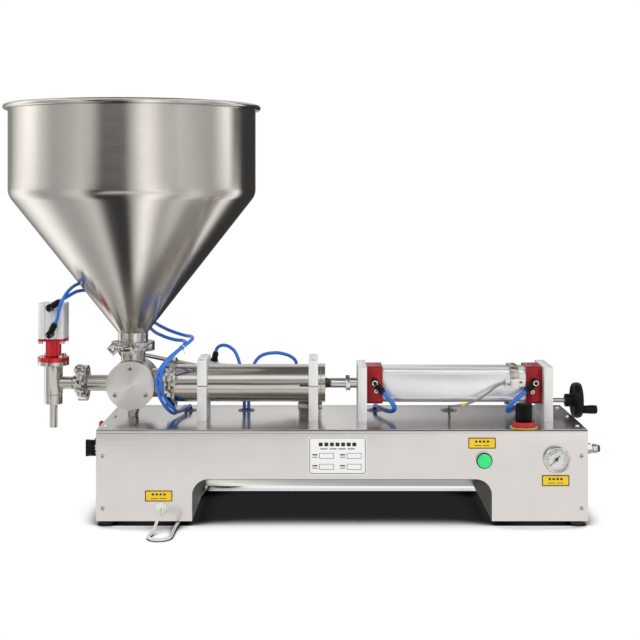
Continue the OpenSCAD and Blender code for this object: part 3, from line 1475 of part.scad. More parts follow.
case_shell();
side_panels();
belly_pan();
feet();
name_plate();
function_plates();
hose_grommets();
cable_gland();
foot_cable();
foot_cable_coil();
foot_cable_plug();
air_inlet();
gauge_body();
gauge_dial();
gauge_lens();
gauge_needle();
switch_collars();
start_button();
selector_knob();
shutoff_lever();
regulator_collar();
regulator_knob();
barrel();
barrel_saddles();
saddle_caps();
screws();
valve_body();
valve_cover();
valve_rotor();
valve_lever();
support_posts();
actuator_barrel();
actuator_rod();
hopper();
hopper_wall();
pipe_clamps();
hopper_clamp_nut();
barrel_clamp_nut();
outlet_clamp_nut();
clamp_gaskets();
nozzle_body();
nozzle_tip();
nozzle_yoke();
nozzle_cylinder();
nozzle_stem();
push_in_fittings();
air_hoses();
air_tube();
air_caps();
air_plates();
piston_head();
piston_seals();
piston_rod();
air_rod();
lead_screw();
handwheel();
handwheel_grip();
sensor_carriage();
sensor();
sensor_lead();
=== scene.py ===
import itertools
import logging
import math
from dataclasses import dataclass
from enum import Enum

import bmesh
import bpy
import numpy as np
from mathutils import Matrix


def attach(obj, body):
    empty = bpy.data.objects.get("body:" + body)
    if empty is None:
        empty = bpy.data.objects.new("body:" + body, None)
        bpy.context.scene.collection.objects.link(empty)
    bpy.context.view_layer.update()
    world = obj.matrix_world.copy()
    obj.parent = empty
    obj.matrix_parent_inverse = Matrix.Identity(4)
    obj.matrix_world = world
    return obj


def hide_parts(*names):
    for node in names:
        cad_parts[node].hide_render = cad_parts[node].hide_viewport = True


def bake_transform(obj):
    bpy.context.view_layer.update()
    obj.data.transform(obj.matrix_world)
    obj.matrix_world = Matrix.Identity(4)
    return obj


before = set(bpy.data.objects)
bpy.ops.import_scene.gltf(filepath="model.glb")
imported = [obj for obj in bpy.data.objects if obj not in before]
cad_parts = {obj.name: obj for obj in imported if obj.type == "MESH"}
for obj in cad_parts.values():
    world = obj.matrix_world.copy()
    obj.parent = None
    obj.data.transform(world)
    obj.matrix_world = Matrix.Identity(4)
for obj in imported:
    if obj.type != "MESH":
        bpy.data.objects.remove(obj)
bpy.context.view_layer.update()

log = logging.getLogger("filling_machine")

MM = 0.001
MID_X = 65.875          # the case's middle lies this far to the right of the origin, in mm
CASE_TOP = 158.0        # level of the case's top sheet
CASE_FACE = -132.0      # the case's front
LINE_Z = 217.0          # height of the barrel's and the air cylinder's axis
VALVE_X = -362.0        # the valve's and the hopper's axis
NOZZLE_X = -501.0       # the nozzle's axis
REGULATOR_AT = (303.3, -105.0, CASE_TOP)
PRINT_FRONT, PRINT_BACK = -0.86, -0.7   # a print on a plate, measured from the case's front
FILM_FRONT, FILM_BACK = -0.8, -0.02     # a plate's film, likewise
WASHER = 0.8            # thickness of the yellow washer under the regulator
MERGE = 2e-6            # points closer than this, in metres, are one
COAT_ROUGHNESS = 0.15
MOTTLE_SCALE = 22.0     # scale of the slow blotches in a colour
ROUGH_SWING = 0.14      # share that the roughness swings to either side over the grain
BUMP_STRENGTH = 0.5

Point = tuple[float, float, float]


class Axis(Enum):
    """The row axes, each with the two directions that a turned shape goes round."""
    X = (0, 1, 2)
    Y = (1, 2, 0)
    Z = (2, 0, 1)


class Grain(Enum):
    """How a surface was worked, which sets the pattern of its material."""
    BRUSHED = "straight brushed lines"
    LINISHED = "lines round the axis, from a belt"
    TURNED = "rings from a lathe"
    BLASTED = "fine even grit"
    CAST = "soft ripple"
    MOULDED = "faint spark texture"
    ROLLED = "long shallow waves of sheet"


@dataclass(frozen=True)
class Finish:
    """A finish: the common name of the material, its colour and how it was worked.

    Sizes are in millimetres: pitch is the distance between two lines or grains. The slot, a material slot
    of the record, is not used.
    """
    name: str
    colour: str
    metallic: float = 0.0
    roughness: float = 0.4
    grain: Grain = Grain.MOULDED
    pitch: float = 1.0
    depth: float = 0.15
    axis: Axis = Axis.X
    centre: Point = (0.0, 0.0, 0.0)
    stretch: float = 0.0
    coat: float = 0.0
    transmission: float = 0.0
    alpha: float = 1.0
    mottling: float = 0.05
    specular: float = 0.5
    slot: str = ""

    def build(self) -> bpy.types.Material:
        """Returns the node material, made once and then shared."""
        made = bpy.data.materials.get(self.name)
        return made if made else finish_material(self)


# Stainless sheet, bright and linished round: long streaks of light run up and down the wall
HOPPER_STEEL = Finish("linished_stainless_hopper", "#cdc8c2", 1.0, 0.2, Grain.LINISHED, 1.6, 0.03,
                      Axis.Z, (VALVE_X, 0, 0), stretch=0.75, slot="bright_steel")
# Stainless sheet with a fine straight brush, bent cold: clear reflections at a low angle
SHEET_STEEL = Finish("brushed_stainless_sheet", "#dcd8d5", 1.0, 0.2, Grain.BRUSHED, 0.9, 0.02, Axis.X)
# Drawn and polished stainless pipe
PIPE_STEEL = Finish("polished_stainless_pipe", "#c9c5bf", 1.0, 0.16, Grain.ROLLED, 18.0, 0.03, slot="bright_steel")
# Stainless faced on a lathe: rings from the tool that fan the light out from the middle
FACED_STEEL = Finish("faced_stainless", "#e4e1dc", 0.95, 0.36, Grain.TURNED, 0.8, 0.03, Axis.Y,
                     (VALVE_X, 0, LINE_Z), stretch=0.9, slot="turned_steel")
# Stainless turned round the pipe's axis
TURNED_STEEL = Finish("turned_stainless", "#bdb9b3", 1.0, 0.27, Grain.ROLLED, 6.0, 0.05, slot="turned_steel")
# Investment cast stainless, blasted and tumbled
CAST_STEEL = Finish("cast_stainless", "#c4c1bb", 1.0, 0.17, Grain.CAST, 2.5, 0.08, slot="chrome")
# Ground and hard chromed rod
CHROME = Finish("hard_chrome", "#d9d7d4", 1.0, 0.1, Grain.ROLLED, 9.0, 0.02, slot="chrome")
# Milled aluminium, blasted and clear anodised: pale and satin
PALE_ALLOY = Finish("clear_anodised_aluminium", "#efefef", 0.3, 0.38, Grain.BLASTED, 0.5, 0.08)
# Drawn aluminium tube, clear anodised: satin, its die lines too fine to see
DRAWN_ALLOY = Finish("drawn_anodised_aluminium", "#efeff0", 0.55, 0.28, Grain.BLASTED, 0.5, 0.03)
# Milled aluminium, anodised red
RED_ALLOY = Finish("red_anodised_aluminium", "#d4303a", 0.7, 0.26, Grain.BLASTED, 0.5, 0.06, slot="red_alloy")
# Cast aluminium caps, anodised a deeper red
DEEP_RED = Finish("deep_red_anodised_casting", "#a01c21", 0.5, 0.36, Grain.CAST, 1.6, 0.1)
# Steel sheet under the case, coloured dark as painted shade
SHADE_DARK_SHEET = Finish("painted_shade_dark_steel", "#323130", 0.0, 0.6, Grain.BLASTED, 0.8, 0.1)
# Printed polyester film, white and yellow
WHITE_FILM = Finish("white_polyester_film", "#f2f2f1", 0.0, 0.35, Grain.MOULDED, 0.8, 0.02, mottling=0.015,
                    slot="white_plate")
YELLOW_FILM = Finish("yellow_polyester_film", "#f4cc1e", 0.0, 0.35, Grain.MOULDED, 0.8, 0.02, mottling=0.03,
                     slot="yellow_plate")
# Black ink for print; the same black also paints the shade in screw recesses and sockets
INK_AND_SHADE = Finish("black_ink_and_painted_shade", "#1d1c1b", 0.0, 0.45, Grain.MOULDED, 0.8, 0.02, slot="black_plastic")
# Nitrile rubber, moulded, dull; in the saddles' split its dark also paints the shade in the gap
BLACK_RUBBER_AND_SHADE = Finish("black_nitrile_rubber_and_gap_shade", "#1d1d1f", 0.0, 0.62, Grain.BLASTED, 0.6, 0.15, slot="black_rubber")
# Phenolic and ABS, moulded, with a low gloss
BLACK_PLASTIC = Finish("black_phenolic", "#070708", 0.0, 0.45, Grain.MOULDED, 1.1, 0.06, specular=0.22,
                       slot="black_plastic")
WHITE_PLASTIC = Finish("white_abs", "#ecece9", 0.0, 0.4, Grain.MOULDED, 0.8, 0.05, slot="white_plastic")
RED_PLASTIC = Finish("red_abs", "#ab111b", 0.0, 0.3, Grain.MOULDED, 0.8, 0.05, coat=0.3, slot="red_plastic")
BLUE_PLASTIC = Finish("blue_acetal", "#20439c", 0.0, 0.35, Grain.MOULDED, 0.8, 0.05, slot="hose_blue")
# Polycarbonate cap with the lamp behind it
GREEN_PLASTIC = Finish("green_polycarbonate", "#22eb81", 0.0, 0.3, Grain.MOULDED, 0.7, 0.04, coat=0.4,
                       slot="green_plastic")
# Polyamide gland, moulded white
GLAND = Finish("white_polyamide", "#efefec", 0.0, 0.36, Grain.MOULDED, 0.7, 0.05, slot="white_plastic")
# Cable sheath of soft pvc
CABLE_SHEATH = Finish("pale_pvc_sheath", "#e3e3df", 0.0, 0.5, Grain.MOULDED, 0.7, 0.08, slot="cable_sheath")
GREY_SHEATH = Finish("grey_pvc_sheath", "#8e8d8b", 0.0, 0.5, Grain.MOULDED, 0.7, 0.08, slot="cable_sheath")
# Polyurethane air hose, extruded, slightly clear
BLUE_HOSE = Finish("blue_polyurethane_hose", "#1a72dd", 0.0, 0.24, Grain.MOULDED, 0.9, 0.03, coat=0.5,
                   slot="hose_blue")
SEAL = Finish("white_ptfe", "#ece9df", 0.0, 0.45, Grain.MOULDED, 0.8, 0.03)
LENS = Finish("clear_polycarbonate_lens", "#f4f8fa", 0.0, 0.06, Grain.MOULDED, 2.0, 0.01, coat=0.2,
              transmission=1.0, alpha=0.25, slot="clear_lens")


def linear(colour: str) -> tuple[float, float, float, float]:
    """Turns an sRGB hex colour to linear light.

    Args:
        colour: the colour as "#rrggbb".

    Returns:
        Red, green, blue and an alpha of one.
    """
    parts = (int(colour[i:i + 2], 16) / 255 for i in (1, 3, 5))
    return (*(c / 12.92 if c <= 0.04045 else ((c + 0.055) / 1.055) ** 2.4 for c in parts), 1.0)


def node(tree: bpy.types.NodeTree, kind: str, settings: dict | None = None,
         links: dict | None = None) -> bpy.types.Node:
    """Adds a node with its settings and links.

    Args:
        tree: the node tree it goes into.
        kind: the node's type name.
        settings: properties of the node, or values of its inputs by name or number.
        links: output sockets to join to its inputs, by input name or number.

    Returns:
        The new node.
    """
    made = tree.nodes.new(kind)
    for key, value in (settings or {}).items():
        if isinstance(key, str) and hasattr(made, key):
            setattr(made, key, value)
        else:
            made.inputs[key].default_value = value
    for key, socket in (links or {}).items():
        tree.links.new(socket, made.inputs[key])
    return made


def grain_height(tree: bpy.types.NodeTree, finish: Finish, place: bpy.types.NodeSocket) -> bpy.types.NodeSocket:
    """Makes the height pattern of a worked surface.

    Args:
        tree: the material's tree.
        finish: the finish, with its grain and pitch.
        place: the Object coordinates, in metres.

    Returns:
        The height's socket, from 0 to 1.
    """
    per_metre = 1000.0 / finish.pitch
    index = finish.axis.value[0]
    if finish.grain in (Grain.LINISHED, Grain.TURNED):
        shifted = node(tree, "ShaderNodeVectorMath", {"operation": "SUBTRACT",
            1: ((finish.centre[0] + MID_X) * MM, finish.centre[1] * MM, finish.centre[2] * MM)}, {0: place})
        if finish.grain is Grain.LINISHED:
            # fine rings along the axis: noise that varies quickly along it and slowly round it
            scale = [per_metre * 0.02] * 3
            scale[index] = per_metre
            lines = node(tree, "ShaderNodeVectorMath", {"operation": "MULTIPLY", 1: scale}, {0: shifted.outputs[0]})
            return node(tree, "ShaderNodeTexNoise", {"Scale": 1.0, "Detail": 3.0},
                        {"Vector": lines.outputs[0]}).outputs[0]
        flat = [1.0, 1.0, 1.0]
        flat[index] = 0.0
        plane = node(tree, "ShaderNodeVectorMath", {"operation": "MULTIPLY", 1: flat}, {0: shifted.outputs[0]})
        radius = node(tree, "ShaderNodeVectorMath", {"operation": "LENGTH"}, {0: plane.outputs[0]})
        return node(tree, "ShaderNodeTexNoise", {"noise_dimensions": "1D", "Scale": per_metre, "Detail": 2.0},
                    {"W": radius.outputs["Value"]}).outputs[0]
    stretch = {Grain.BRUSHED: 0.012, Grain.ROLLED: 0.25}.get(finish.grain, 1.0)
    scale = [per_metre] * 3
    scale[index] = per_metre * stretch
    spread = node(tree, "ShaderNodeVectorMath", {"operation": "MULTIPLY", 1: scale}, {0: place})
    detail = {Grain.CAST: 1.0, Grain.ROLLED: 1.0}.get(finish.grain, 3.0)
    noise = node(tree, "ShaderNodeTexNoise", {"Scale": 1.0, "Detail": detail}, {"Vector": spread.outputs[0]})
    return noise.outputs[0]


def finish_material(finish: Finish) -> bpy.types.Material:
    """Builds a finish: its colour with a slow mottling, and roughness and bump from its grain.

    Args:
        finish: the finish to build.

    Returns:
        The material.
    """
    material = bpy.data.materials.new(finish.name)
    material.use_nodes = True
    tree = material.node_tree
    tree.nodes.clear()
    out = node(tree, "ShaderNodeOutputMaterial")
    shader = node(tree, "ShaderNodeBsdfPrincipled", {
        "Metallic": finish.metallic, "Coat Weight": finish.coat, "Coat Roughness": COAT_ROUGHNESS,
        "Transmission Weight": finish.transmission, "Alpha": finish.alpha, "Anisotropic": finish.stretch,
        "Specular IOR Level": finish.specular})
    place = node(tree, "ShaderNodeTexCoord").outputs["Object"]
    height = grain_height(tree, finish, place)
    slow = node(tree, "ShaderNodeTexNoise", {"Scale": MOTTLE_SCALE, "Detail": 4.0}, {"Vector": place})
    red, green, blue, _ = linear(finish.colour)
    dark = 1.0 - 2.0 * finish.mottling
    tone = node(tree, "ShaderNodeMix", {"data_type": "RGBA", 6: (red * dark, green * dark, blue * dark, 1.0),
        7: (red, green, blue, 1.0)}, {0: slow.outputs[0]})
    rough = node(tree, "ShaderNodeMapRange", {"From Min": 0.25, "From Max": 0.75,
        "To Min": max(0.02, finish.roughness * (1 - ROUGH_SWING)), "To Max": finish.roughness * (1 + ROUGH_SWING)},
        {"Value": height})
    bump = node(tree, "ShaderNodeBump", {"Strength": BUMP_STRENGTH, "Distance": finish.pitch * finish.depth * MM},
                {"Height": height})
    tree.links.new(tone.outputs[2], shader.inputs["Base Color"])
    tree.links.new(rough.outputs["Result"], shader.inputs["Roughness"])
    tree.links.new(bump.outputs["Normal"], shader.inputs["Normal"])
    if finish.stretch:
        tangent = node(tree, "ShaderNodeTangent", {"direction_type": "UV_MAP", "uv_map": "lay"})
        tree.links.new(tangent.outputs[0], shader.inputs["Tangent"])
    tree.links.new(shader.outputs[0], out.inputs[0])
    return material


@dataclass
class Patch:
    """A piece of surface in millimetres, in the case's frame: points, faces and a place on the lay."""
    points: np.ndarray
    faces: list
    lay: np.ndarray | None = None


def grid_faces(rows: int, columns: int, wrap: bool) -> np.ndarray:
    """Quads of a grid of points: the point in row i and column j is joined to the next in each.

    Args:
        rows: number of rows.
        columns: points in a row.
        wrap: whether the last column joins the first.

    Returns:
        An array of four point numbers for each quad.
    """
    i, j = np.meshgrid(np.arange(rows - 1), np.arange(columns if wrap else columns - 1), indexing="ij")
    near, far = i * columns + j, i * columns + (j + 1) % columns
    return np.stack([near, far, far + columns, near + columns], axis=-1).reshape(-1, 4)


def turned(profile: list, centre: Point, axis: Axis, segments: int = 96, ripple: float = 0.0,
           waves: int = 0, closed: bool = False) -> Patch:
    """A turned shape: point (r, h) of the profile goes round the axis at radius r and height h.

    At angle t the radius is r + ripple * cos(waves * t), which gives flutes or scallops.

    Args:
        profile: radius and height of each point, in order.
        centre: where the heights start.
        axis: the axis it goes round.
        segments: number of steps round.
        ripple: depth of the flutes.
        waves: number of flutes.
        closed: whether the last point joins the first.

    Returns:
        The surface.
    """
    line = np.array(profile + profile[:1] if closed else profile, float)
    t = np.arange(segments) * (2 * np.pi / segments)
    along, first, second = axis.value
    flute = ripple * np.cos(waves * t)[None, :] * (line[:, :1] > abs(ripple) * 2)
    radius = line[:, :1] + flute
    points = np.empty((len(line), segments, 3))
    points[..., along] = line[:, 1:] + centre[along]
    points[..., first] = radius * np.cos(t) + centre[first]
    points[..., second] = radius * np.sin(t) + centre[second]
    length = np.concatenate([[0], np.cumsum(np.linalg.norm(np.diff(line, axis=0), axis=1))])
    lay = np.stack(np.broadcast_arrays(length[:, None], t[None, :]), axis=-1).reshape(-1, 2)
    return Patch(points.reshape(-1, 3), grid_faces(len(line), segments, True).tolist(), lay)


def spline(points: list, steps: int) -> np.ndarray:
    """A smooth curve through points, by the Catmull-Rom formula between each pair.

    Args:
        points: the points it goes through.
        steps: pieces between two points.

    Returns:
        The curve's points.
    """
    p = np.array(points, float)
    k = np.concatenate([[2 * p[0] - p[1]], p, [2 * p[-1] - p[-2]]])
    a, b, c, d = (k[i:len(p) - 1 + i][:, None] for i in range(4))
    t = (np.arange(steps) / steps)[None, :, None]
    curve = (2 * b + (c - a) * t + (2 * a - 5 * b + 4 * c - d) * t ** 2 + (3 * b - a - 3 * c + d) * t ** 3) / 2
    return np.concatenate([curve.reshape(-1, 3), p[-1:]])


def unit(v: np.ndarray) -> np.ndarray:
    """Returns vectors of length one."""
    return v / np.linalg.norm(v, axis=-1, keepdims=True)


def tube(path: np.ndarray, radius: float | np.ndarray, sides: int = 16, ends: bool = True) -> Patch:
    """A tube along a path: a ring of the radius stands square to it at each point.

    The ring's first direction is carried from point to point by taking away its part along the path.

    Args:
        path: the middle line.
        radius: one radius, or one for each point.
        sides: points in a ring.
        ends: whether the ends are closed.

    Returns:
        The tube.
    """
    heading = unit(np.gradient(path, axis=0))
    start = np.eye(3)[np.argmin(np.abs(heading[0]))]
    up = np.array(list(itertools.accumulate(heading, lambda u, h: unit(u - (u @ h) * h), initial=start)))[1:]
    side = np.cross(heading, up)
    t = np.arange(sides) * (2 * np.pi / sides)
    r = np.broadcast_to(np.asarray(radius, float), (len(path),))[:, None, None]
    rings = path[:, None] + r * (np.cos(t)[None, :, None] * up[:, None] + np.sin(t)[None, :, None] * side[:, None])
    faces = grid_faces(len(path), sides, True).tolist()
    if ends:
        last = (len(path) - 1) * sides
        faces += [list(range(sides))[::-1], list(range(last, last + sides))]
    return Patch(rings.reshape(-1, 3), faces)


def prism(outline: np.ndarray, low: float, high: float, axis: Axis, centre: Point = (0, 0, 0)) -> Patch:
    """A flat outline carried from low to high along an axis, with both ends closed.

    Args:
        outline: points of the closed outline, along the axis's two other directions.
        low: where it starts.
        high: where it ends.
        axis: the direction it is carried in.
        centre: added to every point.

    Returns:
        The solid.
    """
    along, first, second = axis.value
    count = len(outline)
    points = np.zeros((2, count, 3))
    points[..., first], points[..., second] = outline[:, 0], outline[:, 1]
    points[0, :, along], points[1, :, along] = low, high
    faces = grid_faces(2, count, True).tolist() + [list(range(count))[::-1], list(range(count, 2 * count))]
    return Patch(points.reshape(-1, 3) + np.array(centre, float), faces)


def rounded(width: float, height: float, radius: float, steps: int = 6) -> np.ndarray:
    """Outline of a rectangle with round corners: each corner is a quarter circle of the radius.

    Args:
        width: its first side.
        height: its second side.
        radius: the corners' radius.
        steps: pieces of each corner.

    Returns:
        The outline's points.
    """
    t = np.linspace(0, np.pi / 2, steps + 1)
    corner = np.stack([np.cos(t), np.sin(t)], axis=-1) * radius
    x, y = width / 2 - radius, height / 2 - radius
    turns = [((x, y), np.eye(2)), ((-x, y), np.array([[0, 1], [-1, 0]])),
             ((-x, -y), -np.eye(2)), ((x, -y), np.array([[0, -1], [1, 0]]))]
    return np.concatenate([corner @ turn + np.array(place) for place, turn in turns])


def round_edges(piece: bpy.types.Object, width: float, angle: float = 35.0) -> None:
    """Rounds a piece's edges with a small bevel, the same in view and render.

    Args:
        piece: the object.
        width: the bevel's width, in millimetres.
        angle: edges sharper than this many degrees are rounded.
    """
    bevel = piece.modifiers.new("edge_round", "BEVEL")
    bevel.width, bevel.segments = width * MM, 2
    bevel.limit_method, bevel.angle_limit = "ANGLE", math.radians(angle)
    bevel.harden_normals = True


@dataclass
class Workshop:
    """Makes pieces from patches and dresses the CAD nodes. Angles are in degrees."""
    lay_scale: float = 0.01     # of the lay's lengths in the map
    flat: float = 1.0           # faces that meet at less than this are one
    sharp: float = 32.0         # edges sharper than this are split

    def make(self, name: str, patches: list[Patch], finish: Finish, body: str | None = "machine",
             replaces: tuple = (), crease: float = 40.0, bevel: float = 0.0) -> bpy.types.Object:
        """Makes one object from patches.

        Args:
            name: the piece's name.
            patches: its surfaces, in millimetres.
            finish: its finish.
            body: the body it rides on, or none to leave it on no body.
            replaces: CAD nodes that it stands for.
            crease: edges sharper than this many degrees stay sharp.
            bevel: width of a rounded edge in millimetres, or 0.

        Returns:
            The object, in place.
        """
        starts = np.cumsum([0] + [len(p.points) for p in patches])
        points = (np.concatenate([p.points for p in patches]) + np.array([MID_X, 0, 0])) * MM
        faces = [[v + int(start) for v in f] for p, start in zip(patches, starts) for f in p.faces]
        mesh = bpy.data.meshes.new(name)
        mesh.from_pydata(points.tolist(), [], faces)
        if any(p.lay is not None for p in patches):
            lay = np.concatenate([p.lay if p.lay is not None else np.zeros((len(p.points), 2)) for p in patches])
            corner = np.empty(len(mesh.loops), dtype=np.int32)
            mesh.loops.foreach_get("vertex_index", corner)
            mesh.uv_layers.new(name="lay").uv.foreach_set("vector", (lay[corner] * self.lay_scale).ravel())
        work = bmesh.new()
        work.from_mesh(mesh)
        bmesh.ops.remove_doubles(work, verts=work.verts, dist=MERGE)
        bmesh.ops.recalc_face_normals(work, faces=work.faces)
        work.to_mesh(mesh)
        work.free()
        mesh.polygons.foreach_set("use_smooth", np.ones(len(mesh.polygons), dtype=bool))
        mesh.set_sharp_from_angle(angle=math.radians(crease))
        mesh.materials.append(finish.build())
        piece = bpy.data.objects.new(name, mesh)
        bpy.context.scene.collection.objects.link(piece)
        if bevel:
            round_edges(piece, bevel)
        if body:
            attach(piece, body)
        if replaces:
            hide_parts(*replaces)
        log.info("%s on %s: %d faces", name, body, len(mesh.polygons))
        return piece

    def dress(self, name: str, finish: Finish, bevel: float = 0.0) -> None:
        """Gives a CAD node its finish, with its edges rounded.

        Args:
            name: the CAD node.
            finish: its finish.
            bevel: width of a rounded edge in millimetres, or 0.
        """
        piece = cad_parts[name]
        for slot in piece.material_slots:
            slot.material = finish.build()
        piece.data.polygons.foreach_set("use_smooth", np.ones(len(piece.data.polygons), dtype=bool))
        weld = piece.modifiers.new("join_faces", "WELD")
        weld.merge_threshold = MERGE
        if bevel:
            flat = piece.modifiers.new("flat_faces", "DECIMATE")
            flat.decimate_type, flat.angle_limit = "DISSOLVE", math.radians(self.flat)
            round_edges(piece, bevel)
        else:
            split = piece.modifiers.new("sharp_edges", "EDGE_SPLIT")
            split.split_angle = math.radians(self.sharp)

    def dress_all(self, *rows: tuple[str, Finish, float]) -> None:
        """Dresses several nodes, each row a node, its finish and the width of its rounded edges."""
        for name, finish, bevel in rows:
            self.dress(name, finish, bevel)


class Level(Enum):
    """How bright a stretch of the studio's wall is."""
    BRIGHT = 1.6    # a soft box
    PALE = 1.0      # a white panel
    MID = 0.55      # the plain wall
    DIM = 0.3       # the wall far from the boxes
    DARK = 0.05     # a black flag


@dataclass
class Studio:
    """Camera, lamps, walls and floor. The camera stands level, in front of the case and above it."""
    camera_at: Point = (-37.9, -2344.6, 551.5)
    focal: float = 75.6
    shift: tuple[float, float] = (0.0016, -0.2016)
    # the studio's walls by direction, in degrees to the right of the camera: three soft boxes, two white panels,
    # a flag that hides the camera and a wide one behind on the right
    walls: tuple = ((-180, Level.MID), (-165, Level.DIM), (-140, Level.DIM), (-105, Level.BRIGHT),
                    (-95, Level.BRIGHT), (-70, Level.MID), (-50, Level.MID), (-30, Level.PALE), (-20, Level.DARK),
                    (0, Level.DARK), (15, Level.BRIGHT), (20, Level.BRIGHT), (35, Level.MID), (50, Level.PALE),
                    (65, Level.MID), (85, Level.MID), (105, Level.BRIGHT), (115, Level.DARK), (170, Level.DARK),
                    (180, Level.MID))
    # by height, the sine of the angle over the floor: share of the walls' light, and light of the soft boxes
    # hung above them, in front of the machine and behind it
    front_rise: tuple = ((0, 1, 0), (0.08, 1, 0), (0.14, 0.3, 0.6), (0.25, 0.3, 0.6), (0.38, 0.2, 0.42),
                         (0.46, 0.1, 0.5), (0.54, 0.1, 1.3), (0.68, 0.1, 1.5), (0.78, 0.1, 1.0), (0.84, 0.1, 0.3),
                         (0.9, 0.1, 0.18), (1, 0.1, 0.12))
    back_rise: tuple = ((0, 1, 0), (0.1, 1, 0), (0.15, 1.5, 0), (0.24, 1.5, 0.05), (0.34, 0.3, 0.7), (0.75, 0.2, 0.8),
                        (0.84, 0.1, 0.4), (0.9, 0.1, 0.08), (1, 0.1, 0.12))
    # each lamp's name, place in millimetres, size in metres and power in watts, and the point they all aim at
    lamps: tuple = (("key", (-900, -1900, 1900), 1.2, 13.0), ("fill", (1300, -1500, 1500), 1.4, 6.0),
                    ("rim", (200, 1500, 1900), 1.6, 9.0))
    aim: Point = (0.0, 0.0, 250.0)
    # the floor's shades: how far the sky is looked at, in metres, and the open share where a shade is full and
    # where it ends. A hand's width gives the contact shade, three the dark under the arch
    shades: tuple = ((0.07, 0.42, 0.8), (0.3, 0.24, 0.62))
    darkest: float = 0.018      # light left in a full shade
    drawn_in: float = 0.32      # how far the walls' light is drawn in on the floor
    sheet_light: float = 1.05   # light of the white sheet in front of the case

    def build(self) -> None:
        """Sets the scene's camera, view, lamps, world and floor."""
        scene = bpy.context.scene
        scene.view_settings.view_transform = "Standard"
        camera = bpy.data.objects.new("camera", bpy.data.cameras.new("camera"))
        camera.data.lens, camera.data.sensor_width = self.focal, 36.0
        camera.data.shift_x, camera.data.shift_y = self.shift
        camera.data.clip_end = 100.0
        camera.location = ((self.camera_at[0] + MID_X) * MM, self.camera_at[1] * MM, self.camera_at[2] * MM)
        camera.rotation_euler = (math.pi / 2, 0, 0)
        scene.collection.objects.link(camera)
        scene.camera = camera
        bpy.context.view_layer.update()
        for lamp in self.lamps:
            self.lamp(*lamp)
        self.world()
        self.floor()

    def lamp(self, name: str, at: Point, size: float, power: float) -> None:
        """Hangs a soft square lamp that points at the machine."""
        data = bpy.data.lights.new(name, "AREA")
        data.size, data.energy = size, power
        lamp = bpy.data.objects.new(name, data)
        lamp.location = [c * MM for c in at]
        way = np.array(self.aim) - np.array(at)
        yaw, pitch = math.atan2(way[1], way[0]), math.atan2(-way[2], math.hypot(way[0], way[1]))
        lamp.rotation_euler = (math.pi / 2 - pitch, 0.0, yaw - math.pi / 2)
        lamp.visible_glossy = False
        bpy.context.scene.collection.objects.link(lamp)

    def round_the_machine(self, tree: bpy.types.NodeTree, x: bpy.types.NodeSocket, y: bpy.types.NodeSocket,
                          draw_in: float = 0.0) -> bpy.types.NodeSocket:
        """Gives the walls' light for a direction, half as bright: its angle is atan2(x, -y).

        Args:
            tree: the tree it goes into.
            x: the direction's part to the right.
            y: the direction's part away from the camera.
            draw_in: how far the pattern is spread out at the front and pressed together behind, from 0 to 1.

        Returns:
            The colour's socket.
        """
        back = node(tree, "ShaderNodeMath", {"operation": "MULTIPLY", 1: -1.0}, {0: y})
        turn = node(tree, "ShaderNodeMath", {"operation": "ARCTAN2"}, {0: x, 1: back.outputs[0]})
        size = node(tree, "ShaderNodeMath", {"operation": "ABSOLUTE"}, {0: turn.outputs[0]})
        gain = node(tree, "ShaderNodeMapRange", {"From Max": math.pi, "To Min": 1.0 - draw_in},
                    {"Value": size.outputs[0]})
        drawn = node(tree, "ShaderNodeMath", {"operation": "MULTIPLY"},
                     {0: turn.outputs[0], 1: gain.outputs["Result"]})
        share = node(tree, "ShaderNodeMapRange", {"From Min": -math.pi, "From Max": math.pi},
                     {"Value": drawn.outputs[0]})
        ramp = node(tree, "ShaderNodeValToRGB", {}, {0: share.outputs["Result"]})
        bar = ramp.color_ramp
        for angle, _ in self.walls[1:-1]:
            bar.elements.new((angle + 180) / 360)
        for element, (_, level) in zip(bar.elements, self.walls):
            element.color = (level.value * 0.5, level.value * 0.497, level.value * 0.492, 1.0)
        return ramp.outputs[0]

    @staticmethod
    def by_height(tree: bpy.types.NodeTree, height: bpy.types.NodeSocket, stops: tuple) -> bpy.types.NodeSocket:
        """Gives a quarter of the walls' share and half of the soft boxes' light, as red and green.

        Args:
            tree: the tree it goes into.
            height: sine of the angle over the floor.
            stops: height, share and light at each stop.

        Returns:
            The colour's socket.
        """
        ramp = node(tree, "ShaderNodeValToRGB", {}, {0: height})
        bar = ramp.color_ramp
        for rise, _, _ in stops[1:-1]:
            bar.elements.new(rise)
        for element, (_, share, boxes) in zip(bar.elements, stops):
            element.color = (share / 4, boxes / 2, 0.0, 1.0)
        return ramp.outputs[0]

    def world(self) -> None:
        """Paints the studio: pale walls with dark flags and soft boxes over them, white to camera and lens."""
        world = bpy.data.worlds.new("studio")
        bpy.context.scene.world = world
        world.use_nodes = True
        tree = world.node_tree
        tree.nodes.clear()
        way = node(tree, "ShaderNodeSeparateXYZ", {}, {0: node(tree, "ShaderNodeTexCoord").outputs["Generated"]})
        ramp = self.round_the_machine(tree, way.outputs[0], way.outputs[1])
        behind = node(tree, "ShaderNodeMapRange", {"interpolation_type": "SMOOTHSTEP", "From Min": -0.12,
                      "From Max": 0.12}, {"Value": way.outputs[1]})
        rise = node(tree, "ShaderNodeMix", {"data_type": "RGBA"}, {0: behind.outputs["Result"],
                    6: self.by_height(tree, way.outputs[2], self.front_rise),
                    7: self.by_height(tree, way.outputs[2], self.back_rise)})
        parts = node(tree, "ShaderNodeSeparateColor", {}, {0: rise.outputs[2]})
